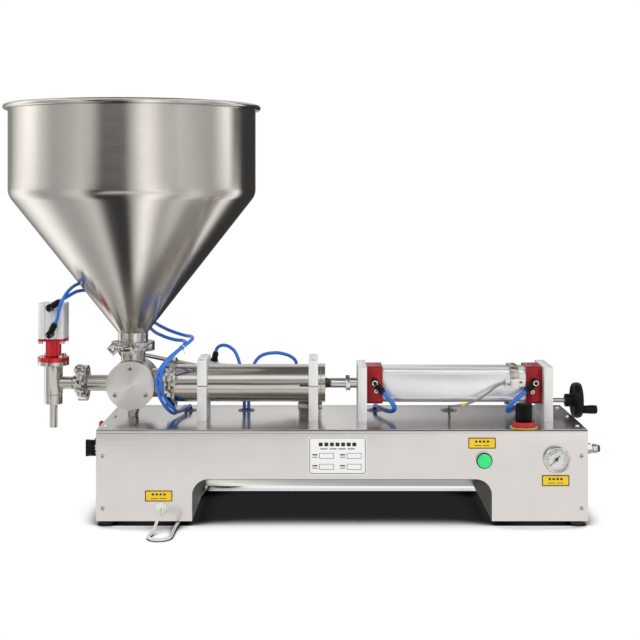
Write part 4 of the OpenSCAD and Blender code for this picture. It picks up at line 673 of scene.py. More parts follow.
        # a ramp's colour ends at 1, so the walls are held at an eighth and the boxes at a half
        share = node(tree, "ShaderNodeMath", {"operation": "MULTIPLY", 1: 8.0}, {0: parts.outputs[0]})
        boxes = node(tree, "ShaderNodeMath", {"operation": "MULTIPLY", 1: 2.0}, {0: parts.outputs[1]})
        painted = node(tree, "ShaderNodeBackground", {}, {"Color": ramp, "Strength": share.outputs[0]})
        hung = node(tree, "ShaderNodeBackground", {"Color": (1.0, 0.995, 0.985, 1.0)}, {"Strength": boxes.outputs[0]})
        walls = node(tree, "ShaderNodeAddShader", {}, {0: painted.outputs[0], 1: hung.outputs[0]})
        white = node(tree, "ShaderNodeBackground", {"Color": (1, 1, 1, 1), "Strength": 1.0})
        ray = node(tree, "ShaderNodeLightPath")
        seen = node(tree, "ShaderNodeMath", {"operation": "MAXIMUM"},
                    {0: ray.outputs["Is Camera Ray"], 1: ray.outputs["Is Transmission Ray"]})
        mixed = node(tree, "ShaderNodeMixShader", {}, {0: seen.outputs[0], 1: walls.outputs[0], 2: white.outputs[0]})
        node(tree, "ShaderNodeOutputWorld", {}, {0: mixed.outputs[0]})

    def floor(self) -> None:
        """Lays a wide pale floor: white to the camera, with a soft shade where the machine stands over it."""
        mesh = bpy.data.meshes.new("studio_floor")
        half, level = 30.0, -0.0005
        mesh.from_pydata([(-half, -half, level), (half, -half, level), (half, half, level), (-half, half, level)],
                         [], [(0, 1, 2, 3)])
        floor = bpy.data.objects.new("studio_floor", mesh)
        bpy.context.scene.collection.objects.link(floor)
        material = bpy.data.materials.new("pale_studio_floor")
        material.use_nodes = True
        tree = material.node_tree
        tree.nodes.clear()
        matt = node(tree, "ShaderNodeBsdfDiffuse", {"Color": linear("#f4f4f4")})
        shades = []
        for reach, low, high in self.shades:
            sky = node(tree, "ShaderNodeAmbientOcclusion", {"samples": 24, "Distance": reach})
            shade = node(tree, "ShaderNodeMapRange", {"interpolation_type": "SMOOTHSTEP", "From Min": low,
                         "From Max": high, "To Min": self.darkest, "To Max": 1.0}, {"Value": sky.outputs["AO"]})
            shades.append(shade.outputs["Result"])
        shade = node(tree, "ShaderNodeMath", {"operation": "MULTIPLY"}, {0: shades[0], 1: shades[1]})
        paper = node(tree, "ShaderNodeEmission", {}, {"Strength": shade.outputs[0]})
        # seen low in a mirror it is a white sheet in front of the case, and seen from above, as the cone sees it,
        # and far off, it carries the walls' light round the hopper
        place = node(tree, "ShaderNodeSeparateXYZ", {}, {0: node(tree, "ShaderNodeTexCoord").outputs["Object"]})
        aside = node(tree, "ShaderNodeMath", {"operation": "SUBTRACT", 1: (VALVE_X + MID_X) * MM},
                     {0: place.outputs[0]})
        flat = node(tree, "ShaderNodeCombineXYZ", {}, {0: aside.outputs[0], 1: place.outputs[1]})
        span = node(tree, "ShaderNodeVectorMath", {"operation": "LENGTH"}, {0: flat.outputs[0]}).outputs["Value"]
        width = node(tree, "ShaderNodeMath", {"operation": "ABSOLUTE"}, {0: place.outputs[0]}).outputs[0]
        low_look = node(tree, "ShaderNodeLayerWeight", {"Blend": 0.5}).outputs["Facing"]
        edges = ((-0.1, -0.14, place.outputs[1]), (2.6, 1.8, span), (0.95, 0.75, width), (0.45, 0.6, low_look))
        masks = [node(tree, "ShaderNodeMapRange", {"interpolation_type": "SMOOTHSTEP", "From Min": a, "From Max": b},
                      {"Value": value}).outputs["Result"] for a, b, value in edges]
        sheet = masks[0]
        for mask in masks[1:]:
            sheet = node(tree, "ShaderNodeMath", {"operation": "MULTIPLY"}, {0: sheet, 1: mask}).outputs[0]
        walls = self.round_the_machine(tree, aside.outputs[0], place.outputs[1], self.drawn_in)
        # twice, because the walls' ramp holds half of their light
        pattern = node(tree, "ShaderNodeEmission", {"Strength": 2.0}, {"Color": walls})
        white = node(tree, "ShaderNodeEmission", {"Color": (1, 0.99, 0.98, 1), "Strength": self.sheet_light})
        mirrored = node(tree, "ShaderNodeMixShader", {}, {0: sheet, 1: pattern.outputs[0], 2: white.outputs[0]})
        ray = node(tree, "ShaderNodeLightPath")
        camera = node(tree, "ShaderNodeMixShader", {},
                      {0: ray.outputs["Is Camera Ray"], 1: matt.outputs[0], 2: paper.outputs[0]})
        both = node(tree, "ShaderNodeMixShader", {},
                    {0: ray.outputs["Is Glossy Ray"], 1: camera.outputs[0], 2: mirrored.outputs[0]})
        node(tree, "ShaderNodeOutputMaterial", {}, {0: both.outputs[0]})
        mesh.materials.append(material)


@dataclass
class FootCable:
    """The foot switch cable: out of its gland, round on the floor, under the left leg to a coil."""
    shop: Workshop
    diameter: float = 5.0
    coil_turns: int = 5
    coil_r: float = 20.0
    coil_pitch: float = 5.8
    coil_at: tuple[float, float] = (-212.0, 196.0)
    plug_d: float = 12.0
    route: tuple = ((-297.5, -133, 30), (-297.5, -142, 30), (-297.5, -150, 29.5), (-298, -160, 26),
                    (-299.5, -170, 19), (-302, -180, 10.5), (-305, -191, 4.5), (-308, -203, 3),
                    (-308, -216, 3), (-300, -228, 3), (-287, -230, 3), (-276, -221, 3), (-273, -206, 3),
                    (-273, -170, 3), (-271, -120, 3), (-266, -60, 3), (-259, 10, 3), (-252, 70, 3),
                    (-247.5, 120, 3), (-246.5, 156, 3))

    def coil_points(self) -> np.ndarray:
        """The coil's line: it winds in on the floor, steps up one pitch, and winds out on top of itself."""
        low, half = self.diameter / 2 + 0.5, self.coil_turns / 2
        turn = np.linspace(0, self.coil_turns, self.coil_turns * 24 + 1)
        radius = self.coil_r + self.coil_pitch * (half - np.where(turn < half, turn, self.coil_turns - turn))
        lift = np.clip((turn - half + 0.25) / 0.5, 0, 1) * self.coil_pitch
        angle = 2 * np.pi * turn
        return np.stack([self.coil_at[0] - radius * np.cos(angle), self.coil_at[1] + radius * np.sin(angle),
                         low + lift], axis=-1)

    def build(self) -> None:
        """Makes the whole cable as one tube, with its gland and its plug."""
        loops = self.coil_points()
        lead = np.array([self.coil_at[0] - self.coil_r - self.coil_pitch * self.coil_turns / 2,
                         self.coil_at[1] - self.diameter, self.diameter / 2 + 0.5])
        run = spline([*self.route, lead - [0, 14, 0], lead], 4)
        last = loops[-1]
        tail = last + [-self.plug_d / 2, 2 * self.plug_d, self.plug_d / 2 - last[2]]
        end = spline([last + [-0.5, self.plug_d * 0.7, -0.5], tail - [0.5, self.plug_d * 0.6, -0.5], tail], 4)
        path = np.concatenate([run, loops, end])
        cable = self.shop.make("foot_switch_cable", [tube(path, self.diameter / 2, 12)], CABLE_SHEATH,
                               replaces=("foot_cable", "foot_cable_coil"))
        plug_end = self.plug(tail)
        nose = [(9, 0), (9, -2.6), (7.6, -3.4), (7.2, -3.4), (6.9, -4), (6.6, -9), (5.6, -11), (3.2, -11.6),
                (2.6, -11.2), (2.6, 4)]
        x, _, z = self.route[0]
        self.shop.make("cable_gland_nut", [turned(nose, (x, CASE_FACE, z), Axis.Y, 48, 0.12, 16)], GLAND,
                       replaces=("cable_gland",))

    def plug(self, tail: np.ndarray) -> bpy.types.Object:
        """The round connector on the cable's far end, with a ribbed sleeve."""
        r = self.plug_d / 2
        body = [(2.5, -1), (3.6, 0), (3.9, 8), (4.4, 12), (r - 0.4, 13), (r, 14), (r, 26), (r - 0.5, 27),
                (r - 0.3, 27.6), (r - 0.3, 33), (r - 1, 34.2), (r - 1.8, 34.2), (r - 1.8, 28), (0, 28)]
        sleeve = turned(body, (tail[0], tail[1] + 0.4, tail[2]), Axis.Y, 48, 0.12, 20)
        return self.shop.make("foot_cable_connector", [sleeve], BLACK_PLASTIC, replaces=("foot_cable_plug",))


@dataclass
class Hopper:
    """The hopper: neck, cone, rounded shoulder, wall and rolled bead of one sheet."""
    shop: Workshop
    radius: float = 213.5
    neck: float = 25.8
    neck_z: float = 282.8
    cone_low: float = 305.4
    cone_high: float = 544.4
    rim_z: float = 700.4
    sheet: float = 1.5
    bead: float = 9.5
    shoulder: float = 30.0

    def wall(self) -> np.ndarray:
        """The outer line, from the ferrule up to the bead, with an arc tangent to cone and wall."""
        angle = math.atan((self.radius - self.neck) / (self.cone_high - self.cone_low))
        cut = self.shoulder * math.tan(angle / 2)
        t = np.linspace(-angle, 0, 9)
        arc = np.stack([self.radius - self.shoulder + self.shoulder * np.cos(t),
                        self.cone_high + cut + self.shoulder * np.sin(t)], axis=-1)
        straight = np.linspace([self.neck, self.cone_low], arc[0], 24)
        rise = np.linspace([self.neck, self.neck_z + 8.5], [self.neck, self.cone_low - 1.2], 4)
        upper = np.linspace(arc[-1], [self.radius, self.rim_z - self.bead * 0.8], 12)
        return np.concatenate([rise, straight, arc, upper[1:]])

    def build(self) -> None:
        """Makes the hopper as one turned piece, inside and outside."""
        outer = self.wall()
        inner = outer - [self.sheet, 0]
        r = self.bead / 2
        t = np.linspace(-0.55 * np.pi, 0.95 * np.pi, 18)
        roll = np.stack([self.radius - self.sheet / 2 + r + r * np.cos(t), self.rim_z - r + r * np.sin(t)], axis=-1)
        ferrule = [(self.neck - self.sheet, self.neck_z), (31.6, self.neck_z), (32, self.neck_z + 0.4),
                   (32, self.neck_z + 2.4), (31.4, self.neck_z + 3.1), (self.neck, self.neck_z + 5.2)]
        line = [*ferrule, *outer.tolist(), *roll.tolist(), *inner[::-1].tolist()]
        self.shop.make("paste_hopper", [turned(line, (VALVE_X, 0, 0), Axis.Z, 192, closed=True)], HOPPER_STEEL,
                       replaces=("hopper", "hopper_wall"), crease=30)


@dataclass
class Case:
    """The sheet metal case with its plates, screws and feet."""
    shop: Workshop
    name_at: tuple[float, float] = (-7.4, 115.8)
    # the yellow plates: name, and x and z of the middle
    yellow: tuple = (("start", 230.5, 136.5), ("pressure", 351.6, 74.8), ("pedal", -301.7, 49.5))

    def build(self) -> None:
        """Dresses the case's nodes and lays the bare plates on it."""
        # the belly pan's dark finish is painted shade under the case
        self.shop.dress_all(("case_shell", SHEET_STEEL, 0), ("side_panels", SHEET_STEEL, 0),
                            ("belly_pan", SHADE_DARK_SHEET, 0), ("feet", BLACK_RUBBER_AND_SHADE, 0.6), ("screws", CHROME, 0),
                            ("hose_grommets", GREY_SHEATH, 0))
        self.plate("name_film", *self.name_at, 95, 62, WHITE_FILM, ("name_plate",))
        self.name_marks()
        for number, (name, x, z) in enumerate(self.yellow):
            self.plate(f"{name}_film", x, z, 45.5, 18.4, YELLOW_FILM, () if number else ("function_plates",))
        for name, x, z in self.yellow:
            self.border(f"{name}_border", x, z, 45.0, 17.9, 1.5)
            self.shop.make(f"{name}_dashes", self.dashes(x, z), INK_AND_SHADE)
        self.regulator_plate()
        self.recesses()

    def plate(self, name: str, x: float, z: float, width: float, height: float, finish: Finish,
              replaces: tuple = ()) -> None:
        """Glues a thin film on the front: a rounded rectangle."""
        film = prism(rounded(height, width, 1.6), FILM_FRONT, FILM_BACK, Axis.Y, (x, CASE_FACE, z))
        self.shop.make(name, [film], finish, replaces=replaces, bevel=0.15)

    def border(self, name: str, x: float, z: float, width: float, height: float, line: float) -> None:
        """Prints a border: the ring between two rounded rectangles, just proud of the film."""
        outer, inner = rounded(height, width, 1.2), rounded(height - 2 * line, width - 2 * line, 0.8)
        self.shop.make(name, [self.ring(outer, inner, x, z)], INK_AND_SHADE)

    @staticmethod
    def ring(outer: np.ndarray, inner: np.ndarray, x: float, z: float) -> Patch:
        """A thin frame between two outlines of the same count, closed all round."""
        loops = np.concatenate([outer, inner, inner, outer, outer])
        depth = np.repeat([PRINT_FRONT, PRINT_FRONT, PRINT_BACK, PRINT_BACK, PRINT_FRONT], len(outer))
        points = np.stack([x + loops[:, 1], CASE_FACE + depth, z + loops[:, 0]], axis=-1)
        return Patch(points, grid_faces(5, len(outer), True).tolist())

    @staticmethod
    def dash(x: float, z: float, length: float, height: float) -> Patch:
        """A plain printed bar, just proud of the film, its middle at x and z."""
        outline = rounded(height, length, min(height, length) * 0.2, 2)
        return prism(outline, PRINT_FRONT, PRINT_BACK, Axis.Y, (x, CASE_FACE, z))

    def dashes(self, x: float, z: float) -> list[Patch]:
        """Two rows of plain bars that mark a yellow plate: four square ones over two long thin ones."""
        row = [self.dash(x + 6.4 * (k - 1.5), z + 2.6, 4.0, 3.4) for k in range(4)]
        return row + [self.dash(x + step, z - 4.0, 11.0, 1.1) for step in (-6.8, 6.8)]

    def recesses(self) -> None:
        """Painted shade in the cross recesses of the eight panel screws: dark bars that cross, let into the head."""
        bars = []
        within, proud = 133.6, 134.28   # from inside the head to just proud of its face
        for side, x, z in itertools.product((-1, 1), (-394.5, 394.5), (29, 115)):
            for wide, tall in ((4.6, 1.1), (1.1, 4.6)):
                low, high = sorted((side * within, side * proud))
                bars.append(prism(rounded(tall, wide, 0.2, 2), low, high, Axis.Y, (x, 0, z)))
        self.shop.make("screw_recess_shade", bars, INK_AND_SHADE)

    def name_marks(self) -> None:
        """Prints the name plate's border, plain bars for its heading, and four blank boxes with bars beside."""
        middle, level = self.name_at
        marks = [self.ring(rounded(59.4, 92.4, 3.4), rounded(57.4, 90.4, 2.4), middle, level)]
        marks += [self.dash(middle + 9.2 * (k - 3), 134.4, 6.6, 6.2) for k in range(7)]
        marks += [self.dash(middle + 15.0 * (k - 1.5), 127.0, 12.0, 1.5) for k in range(4)]
        for x, z in itertools.product((-25.5, 20.0), (115.5, 97.5)):
            marks.append(self.ring(rounded(9.4, 24, 0.5), rounded(8.0, 22.6, 0.3), x, z))
            marks += [self.dash(x - 19.0, z + 1.8, 8.4, 2.2), self.dash(x - 19.0, z - 2.2, 8.4, 1.2)]
        self.shop.make("name_plate_rules", marks, INK_AND_SHADE)

    def regulator_plate(self) -> None:
        """The thin yellow washer under the pressure regulator."""
        ring = [(6.3, 0), (23.2, 0), (23.4, 0.3), (23.2, WASHER), (6.3, WASHER)]
        self.shop.make("regulator_film", [turned(ring, REGULATOR_AT, Axis.Z, 64, closed=True)], YELLOW_FILM)


@dataclass
class Controls:
    """Gauge, start button, regulator, selector, shut-off lever and air inlet."""
    shop: Workshop
    gauge_at: tuple[float, float] = (353.0, 110.0)
    button_at: tuple[float, float] = (234.0, 108.0)
    inlet_at: Point = (405.0, -40.0, 110.0)

    def build(self) -> None:
        """Makes each control."""
        self.gauge()
        self.button()
        self.regulator()
        self.shop.dress_all(("selector_knob", BLACK_PLASTIC, 0.5), ("shutoff_lever", RED_PLASTIC, 0))
        self.inlet()

    def inlet(self) -> None:
        """The air inlet on the right end: a hexagon with a grooved collar, and its blue release ring."""
        at = self.inlet_at
        nut = [(4.2, 0), (8.9, 0), (9.5, 0.6), (9.5, 23), (8.9, 23.6), (4.2, 23.6)]
        collar = [(4.2, 23.4), (6.3, 23.6), (6.3, 25.4), (7.5, 25.8), (8, 26.8), (8, 32.2), (7.5, 33.4), (4.2, 33.6)]
        self.shop.make("inlet_connector", [turned(nut, at, Axis.X, 6, closed=True),
                       turned(collar, at, Axis.X, 48, closed=True)], CHROME, replaces=("air_inlet",), crease=25)
        release = [(4.2, 33.4), (5.9, 33.4), (6, 34), (6, 37.2), (5.5, 38.2), (4.4, 38.2), (4.2, 37.6)]
        self.shop.make("inlet_release", [turned(release, at, Axis.X, 40, closed=True)], BLUE_PLASTIC)

    def gauge(self) -> None:
        """The pressure gauge: plated case, white dial with plain marks, clear lens and needle."""
        x, z = self.gauge_at
        at = (x, CASE_FACE, z)
        case = [(18, 24), (18, 0), (22, 0), (22, -6.4), (21.4, -8.2), (20.2, -9), (19.4, -8.9), (19, -8.2),
                (18.8, -7.4), (18.8, -0.4), (17, -0.4), (17, 1.0), (0, 1.0)]
        self.shop.make("gauge_case", [turned(case, at, Axis.Y, 96)], CHROME, replaces=("gauge_body",))
        dial = [(0, -1.0), (18.2, -1.0), (18.2, -0.1)]
        post = [(0, -3.3), (1.5, -3.3), (1.5, -1)]
        self.shop.make("gauge_face", [turned(dial, at, Axis.Y, 64), turned(post, at, Axis.Y, 24)], WHITE_FILM,
                       replaces=("gauge_dial",))
        glass = [(0, -8.2), (18.7, -8.2), (18.7, -7.4), (0, -7.4)]
        self.shop.make("gauge_window", [turned(glass, at, Axis.Y, 64)], LENS, replaces=("gauge_lens",))
        marks = []
        zero, step = math.radians(225), math.radians(9)
        for k in range(31):
            long_mark = k % 5 == 0
            inner, wide = (12.6 if long_mark else 14.2), (0.42 if long_mark else 0.2)
            marks.append(self.dash(at, zero - step * k, inner, 15.6, wide))
        self.shop.make("gauge_marks", marks, INK_AND_SHADE)
        sweep = np.linspace(math.radians(153), math.radians(81), 20)
        arc = np.stack([np.cos(sweep), np.zeros(20), np.sin(sweep)], axis=-1)
        band = [arc * radius + (x, CASE_FACE - 1.06, z) for radius in (11.2, 10.2)]
        self.shop.make("gauge_arc", [Patch(np.concatenate(band), grid_faces(2, 20, False).tolist())], RED_PLASTIC)
        hub = [(0, -4.4), (2.2, -4.3), (2.6, -3.9), (2.6, -2.6), (0, -2.6)]
        needle = self.dash(at, zero, -8.0, 14.6, 0.75, 2.7, 3.3, 0.3)
        self.shop.make("gauge_pointer", [turned(hub, at, Axis.Y, 32), needle], BLACK_PLASTIC,
                       body="needle", replaces=("gauge_needle",))

    @staticmethod
    def dash(at: Point, turn: float, inner: float, outer: float, half: float, low: float = 0.95,
             high: float = 1.08, taper: float = 1.0) -> Patch:
        """A thin bar on the dial, from one radius to another at an angle, narrower at its outer end."""
        reach = np.array([inner, outer, outer, inner])
        side = np.array([-half, -half * taper, half * taper, half])
        c, s = math.cos(turn), math.sin(turn)
        flat = np.stack([reach * s + side * c, reach * c - side * s], axis=-1)
        return prism(flat, -high, -low, Axis.Y, at)

    def button(self) -> None:
        """The start button: plated ring, dark seal and a domed green cap."""
        x, z = self.button_at
        at = (x, CASE_FACE, z)
        ring = [(11.95, 6.8), (11.95, -2.4), (12.2, -3), (13.2, -3.2), (14.2, -2.4), (14.5, -1.2), (14.5, 0),
                (13.4, 0), (13.4, 6.8)]
        self.shop.make("button_ring", [turned(ring, at, Axis.Y, 72, closed=True)], CHROME)
        seal = [(11.6, -3.3), (11.7, -4.2), (13.2, -4.2), (13.4, -3.3), (12.4, -2.6), (11.6, -2.6)]
        self.shop.make("button_seal", [turned(seal, at, Axis.Y, 72, closed=True)], BLACK_RUBBER_AND_SHADE)
        t = np.linspace(0, 1, 8)
        dome = np.stack([10.9 * t, -9.0 + 1.1 * t ** 2], axis=-1).tolist()
        cap = [*dome, (11.4, -7.5), (11.5, -6.8), (11.5, 1.9), (7, 1.9), (7, 6.9), (0, 6.9)]
        self.shop.make("start_cap", [turned(cap, at, Axis.Y, 72)], GREEN_PLASTIC, body="button",
                       replaces=("start_button",))
        self.shop.dress("switch_collars", CHROME)

    def regulator(self) -> None:
        """The regulator: a scalloped red collar and a fluted black knob."""
        x, y, z = REGULATOR_AT
        at = (x, y, z + WASHER)
        collar = [(6.6, 0), (18.6, 0), (19.3, 0.6), (19.4, 7.6), (18.6, 8.7), (17.4, 9), (15.2, 9), (6.6, 9)]
        self.shop.make("regulator_ring", [turned(collar, at, Axis.Z, 160, 0.55, 20, closed=True)], RED_PLASTIC,
                       replaces=("regulator_collar",))
        knob = [(0, 9.15), (12.4, 9.15), (13.1, 10), (13.2, 36.6), (12.6, 38.2), (11.4, 39.1), (9, 39.15),
                (8.4, 38.6), (0, 38.6)]
        self.shop.make("regulator_grip", [turned(knob, at, Axis.Z, 216, 0.62, 27)], BLACK_PLASTIC,
                       body="regulator", replaces=("regulator_knob",))


@dataclass
class Barrel:
    """Product barrel with its ferrule, end ring, saddles and the piston inside."""
    shop: Workshop
    start: float = -293.2
    end: float = -27.0

    def build(self) -> None:
        """Makes the barrel and dresses what carries it."""
        e = self.end
        line = [(29.5, self.start), (38.4, self.start), (38.75, self.start + 0.5), (38.75, self.start + 2.4),
                (38.2, self.start + 3), (32.8, self.start + 5), (32.5, self.start + 5.6)]
        line += [(32.5, x) for x in np.linspace(self.start + 8, e - 13, 14)]
        line += [(33.3, e - 12.4), (33.3, e - 8.2), (32.8, e - 7.6), (33.3, e - 7), (33.3, e - 0.6), (32.8, e),
                 (29.9, e), (29.5, e - 0.5)]
        self.shop.make("product_barrel", [turned(line, (0, 0, LINE_Z), Axis.X, 128, closed=True)], PIPE_STEEL,
                       replaces=("barrel",), crease=30)
        self.shop.dress_all(("barrel_saddles", PALE_ALLOY, 0.7), ("saddle_caps", PALE_ALLOY, 0.7),
                            ("piston_head", TURNED_STEEL, 0.4), ("piston_seals", SEAL, 0),
                            ("piston_rod", CHROME, 0.5), ("air_rod", CHROME, 0))
        # black rubber strips in each saddle's split; their dark also paints the shade in the gap
        strips = [prism(rounded(8.4, 1.2, 0.2, 2), x + 0.4, x + 15.6, Axis.X, (0, side * 39.0, LINE_Z))
                  for x, side in itertools.product((-246.5, -71.5), (-1, 1))]
        self.shop.make("saddle_liners_and_gap_shade", strips, BLACK_RUBBER_AND_SHADE)


@dataclass
class Valve:
    """The rotary valve with its cover, drive and pipe clamps."""
    shop: Workshop

    def build(self) -> None:
        """Makes the faced cover and dresses the rest."""
        front = -38.0
        cover = [(0, front), (10, front), (30, front), (40.6, front), (41.6, front + 0.4), (41.9, front + 1.2),
                 (41.9, front + 7.6), (41.5, front + 8), (0, front + 8)]
        self.shop.make("valve_front", [turned(cover, (VALVE_X, 0, LINE_Z), Axis.Y, 144)], FACED_STEEL,
                       replaces=("valve_cover",), crease=30)
        self.heads(front)
        self.shop.dress_all(("valve_body", TURNED_STEEL, 0.5), ("valve_rotor", TURNED_STEEL, 0.4),
                            ("valve_lever", TURNED_STEEL, 0.4), ("support_posts", TURNED_STEEL, 0.4),
                            ("actuator_barrel", DRAWN_ALLOY, 0.4), ("actuator_rod", CHROME, 0.3),
                            ("pipe_clamps", CAST_STEEL, 0.7), ("hopper_clamp_nut", CAST_STEEL, 0.8),
                            ("barrel_clamp_nut", CAST_STEEL, 0.8), ("outlet_clamp_nut", CAST_STEEL, 0.8),
                            ("clamp_gaskets", SEAL, 0))

    def heads(self, front: float) -> None:
        """Three cap screws on the cover, each a knurled head with a hexagon socket whose dark floor is painted shade.
        """
        patches, sockets, circle = [], [], 30.5
        for turn in (90, 210, 330):
            x = VALVE_X + circle * math.cos(math.radians(turn))
            z = LINE_Z + circle * math.sin(math.radians(turn))
            head = [(2.3, 0.6), (2.3, -2.4), (3.7, -2.5), (4.25, -2.0), (4.25, 0.4)]
            patches.append(turned(head, (x, front, z), Axis.Y, 60, 0.06, 30))
            sockets.append(turned([(0, -0.6), (2.5, -0.6), (2.5, 0.2), (0, 0.2)], (x, front, z), Axis.Y, 6))
        self.shop.make("cover_screw_heads", patches, CAST_STEEL)
        # a dark hexagon in each socket is painted shade
        self.shop.make("cover_socket_shade", sockets, INK_AND_SHADE)


@dataclass
class Nozzle:
    """The shut-off nozzle: upright tube with its branch, tip, red yoke and air cylinder."""
    shop: Workshop

    def build(self) -> None:
        """Makes the turned pieces and dresses the cylinder."""
        at = (NOZZLE_X, 0, LINE_Z)
        tube_line = [(8, -36.4), (14.8, -36.4), (15.5, -35.7), (15.5, -20.4), (14.6, -19.8), (14.6, -18.8),
                     (16, -18.2), (16, 29.6), (16.6, 31.1), (26.6, 31.4), (27, 31.9), (27, 38), (26.6, 38.4),
                     (12, 38.45), (12, -28), (8, -30)]
        branch = [(8, 0), (11, 0), (11, 33), (13.2, 36), (13.4, 43), (14, 46.6), (25.25, 49.4), (25.25, 52.0),
                  (8, 52.2)]
        self.shop.make("nozzle_tube", [turned(tube_line, at, Axis.Z, 96, closed=True),
                       turned(branch, at, Axis.X, 72)], PIPE_STEEL,
                       replaces=("nozzle_body",), crease=30)
        tip = [(5, -77.4), (6.6, -77.4), (6.9, -77), (6.9, -37), (6.9, -30), (5, -30)]
        self.shop.make("nozzle_spout", [turned(tip, at, Axis.Z, 64, closed=True)], PIPE_STEEL,
                       replaces=("nozzle_tip",), crease=30)
        base = [(6.5, 38.5), (26.6, 38.5), (27, 38.9), (27, 45.2), (26.6, 45.7), (14.6, 46.0), (13.2, 47), (12.9, 49),
                (12.9, 71), (13.4, 73.4), (15, 74.1), (6.5, 74.1)]
        self.shop.make("yoke_column", [turned(base[:6] + [(6.5, 46.0)], at, Axis.Z, 96, closed=True),
                       turned([(6.5, 46)] + base[6:], at, Axis.Z, 192, 0.95, 12, closed=True),
                       prism(rounded(47, 47, 6), 74.1, 78.45, Axis.Z, at)], RED_ALLOY,
                       replaces=("nozzle_yoke",), bevel=0.3)
        self.shop.dress_all(("nozzle_cylinder", PALE_ALLOY, 0.6), ("nozzle_stem", CHROME, 0))


@dataclass
class AirCylinder:
    """Air cylinder with red caps, end plates, lead screw, handwheel and the sensor's carriage."""
    shop: Workshop
    screw_y: float = 43.0
    screw_z: float = 180.0
    wheel_x: float = 398.5

    def build(self) -> None:
        """Dresses the cylinder and makes the adjuster."""
        self.shop.dress_all(("air_tube", DRAWN_ALLOY, 0.3), ("air_caps", DEEP_RED, 0.8),
                            ("air_plates", PALE_ALLOY, 0.8), ("sensor_carriage", TURNED_STEEL, 0.3),
                            ("sensor", WHITE_PLASTIC, 0.8))
        self.screw()
        self.wheel()
        self.sensor_marks()

    def screw(self) -> None:
        """The lead screw: a round thread of 2 mm pitch, its radius a cosine of angle and height together."""
        rows, sides, pitch, depth, middle = 1500, 20, 2.0, 0.25, 3.25
        x = np.linspace(60.5, 345.4, rows)[:, None]
        t = (np.arange(sides) * 2 * np.pi / sides)[None, :]
        r = middle + depth * np.cos(2 * np.pi * x / pitch - t)
        points = np.stack(np.broadcast_arrays(x, self.screw_y + r * np.cos(t), self.screw_z + r * np.sin(t)), axis=-1)
        thread = Patch(points.reshape(-1, 3), grid_faces(rows, sides, True).tolist())
        left = [(0, 31), (3.7, 31), (4, 31.4), (4, 44), (4, 44.2), (6, 44.2), (6, 48), (3.5, 48.2), (3.4, 60.5),
                (0, 60.5)]
        end = self.wheel_x + 13
        right = [(0, 345.4), (3.4, 345.4), (6, 342.6), (6, 346.2), (4, 346.3), (4, end), (0, end)]
        at = (0, self.screw_y, self.screw_z)
        self.shop.make("adjuster_screw", [thread, turned(left, at, Axis.X, 40), turned(right, at, Axis.X, 40)],
                       TURNED_STEEL, body="adjuster", replaces=("lead_screw",))

    def wheel(self) -> None:
        """The handwheel: hub, dished web and round rim, with a revolving grip."""
        at = (self.wheel_x, self.screw_y, self.screw_z)
        t = np.linspace(-0.5 * np.pi, 0.5 * np.pi, 9)
        rim = np.stack([27.4 + 4.1 * np.cos(t), 21 + 8 * np.sin(t)], axis=-1).tolist()
        line = [(4.05, 0), (10.6, 0), (11.5, 0.9), (11.5, 14.5), (12.6, 16.8), (22.5, 17.2), (24.2, 15.6),
                (25.4, 13.3), *rim, (25.2, 28.6), (24.0, 26.4), (22.5, 24.6), (12.6, 24.0), (11, 24.6), (10.4, 26),
                (9, 26.2), (0, 26.2)]
        self.shop.make("wheel", [turned(line, at, Axis.X, 128)], BLACK_PLASTIC, body="adjuster",
                       replaces=("handwheel",))
        turn, crank = math.radians(219), 22
        place = (self.wheel_x + 29, self.screw_y + crank * math.cos(turn), self.screw_z + crank * math.sin(turn))
        grip = [(3.1, 0.2), (6.0, 0.2), (6.8, 1.2), (7.0, 4), (7.4, 9), (7.7, 15), (7.7, 21), (7.2, 23.4),
                (6.2, 24.6), (3.2, 25), (0, 25)]
        self.shop.make("wheel_grip", [turned(grip, place, Axis.X, 64)], BLACK_PLASTIC, body="grip",
                       replaces=("handwheel_grip",))
        boss = [(0, -3.4), (7, -3.4), (7.5, -2.6), (7.5, 0), (3, 0), (3, 21), (0, 21)]
        self.shop.make("grip_boss", [turned(boss, place, Axis.X, 40)], BLACK_PLASTIC, body="adjuster")

    def sensor_marks(self) -> None:
        """A small lamp window, a dark band and a plated strap on the sensor's face, and the nut of its lead."""
        lens = prism(rounded(3.4, 5.0, 0.8), -0.35, 0.1, Axis.Y, (308.6, -40.1, 223.4))
        self.shop.make("sensor_lamp", [lens], RED_PLASTIC, body="sensor")
        band = prism(rounded(9.6, 1.2, 0.2), -0.15, 0.1, Axis.Y, (291.0, -40.1, 222))
        self.shop.make("sensor_band", [band], INK_AND_SHADE, body="sensor")
        nut = turned([(2.1, 0), (5.6, 0), (6.0, 0.4), (6.0, 4.2), (5.6, 4.6), (2.1, 4.6)], (284.6, -36.1, 222),
                     Axis.X, 6, closed=True)
        strap = prism(rounded(14.5, 9.0, 0.8), -1.0, 0.05, Axis.Y, (299.5, -40.1, 222))
        self.shop.make("sensor_nut", [nut, strap], CHROME, body="sensor", crease=25)


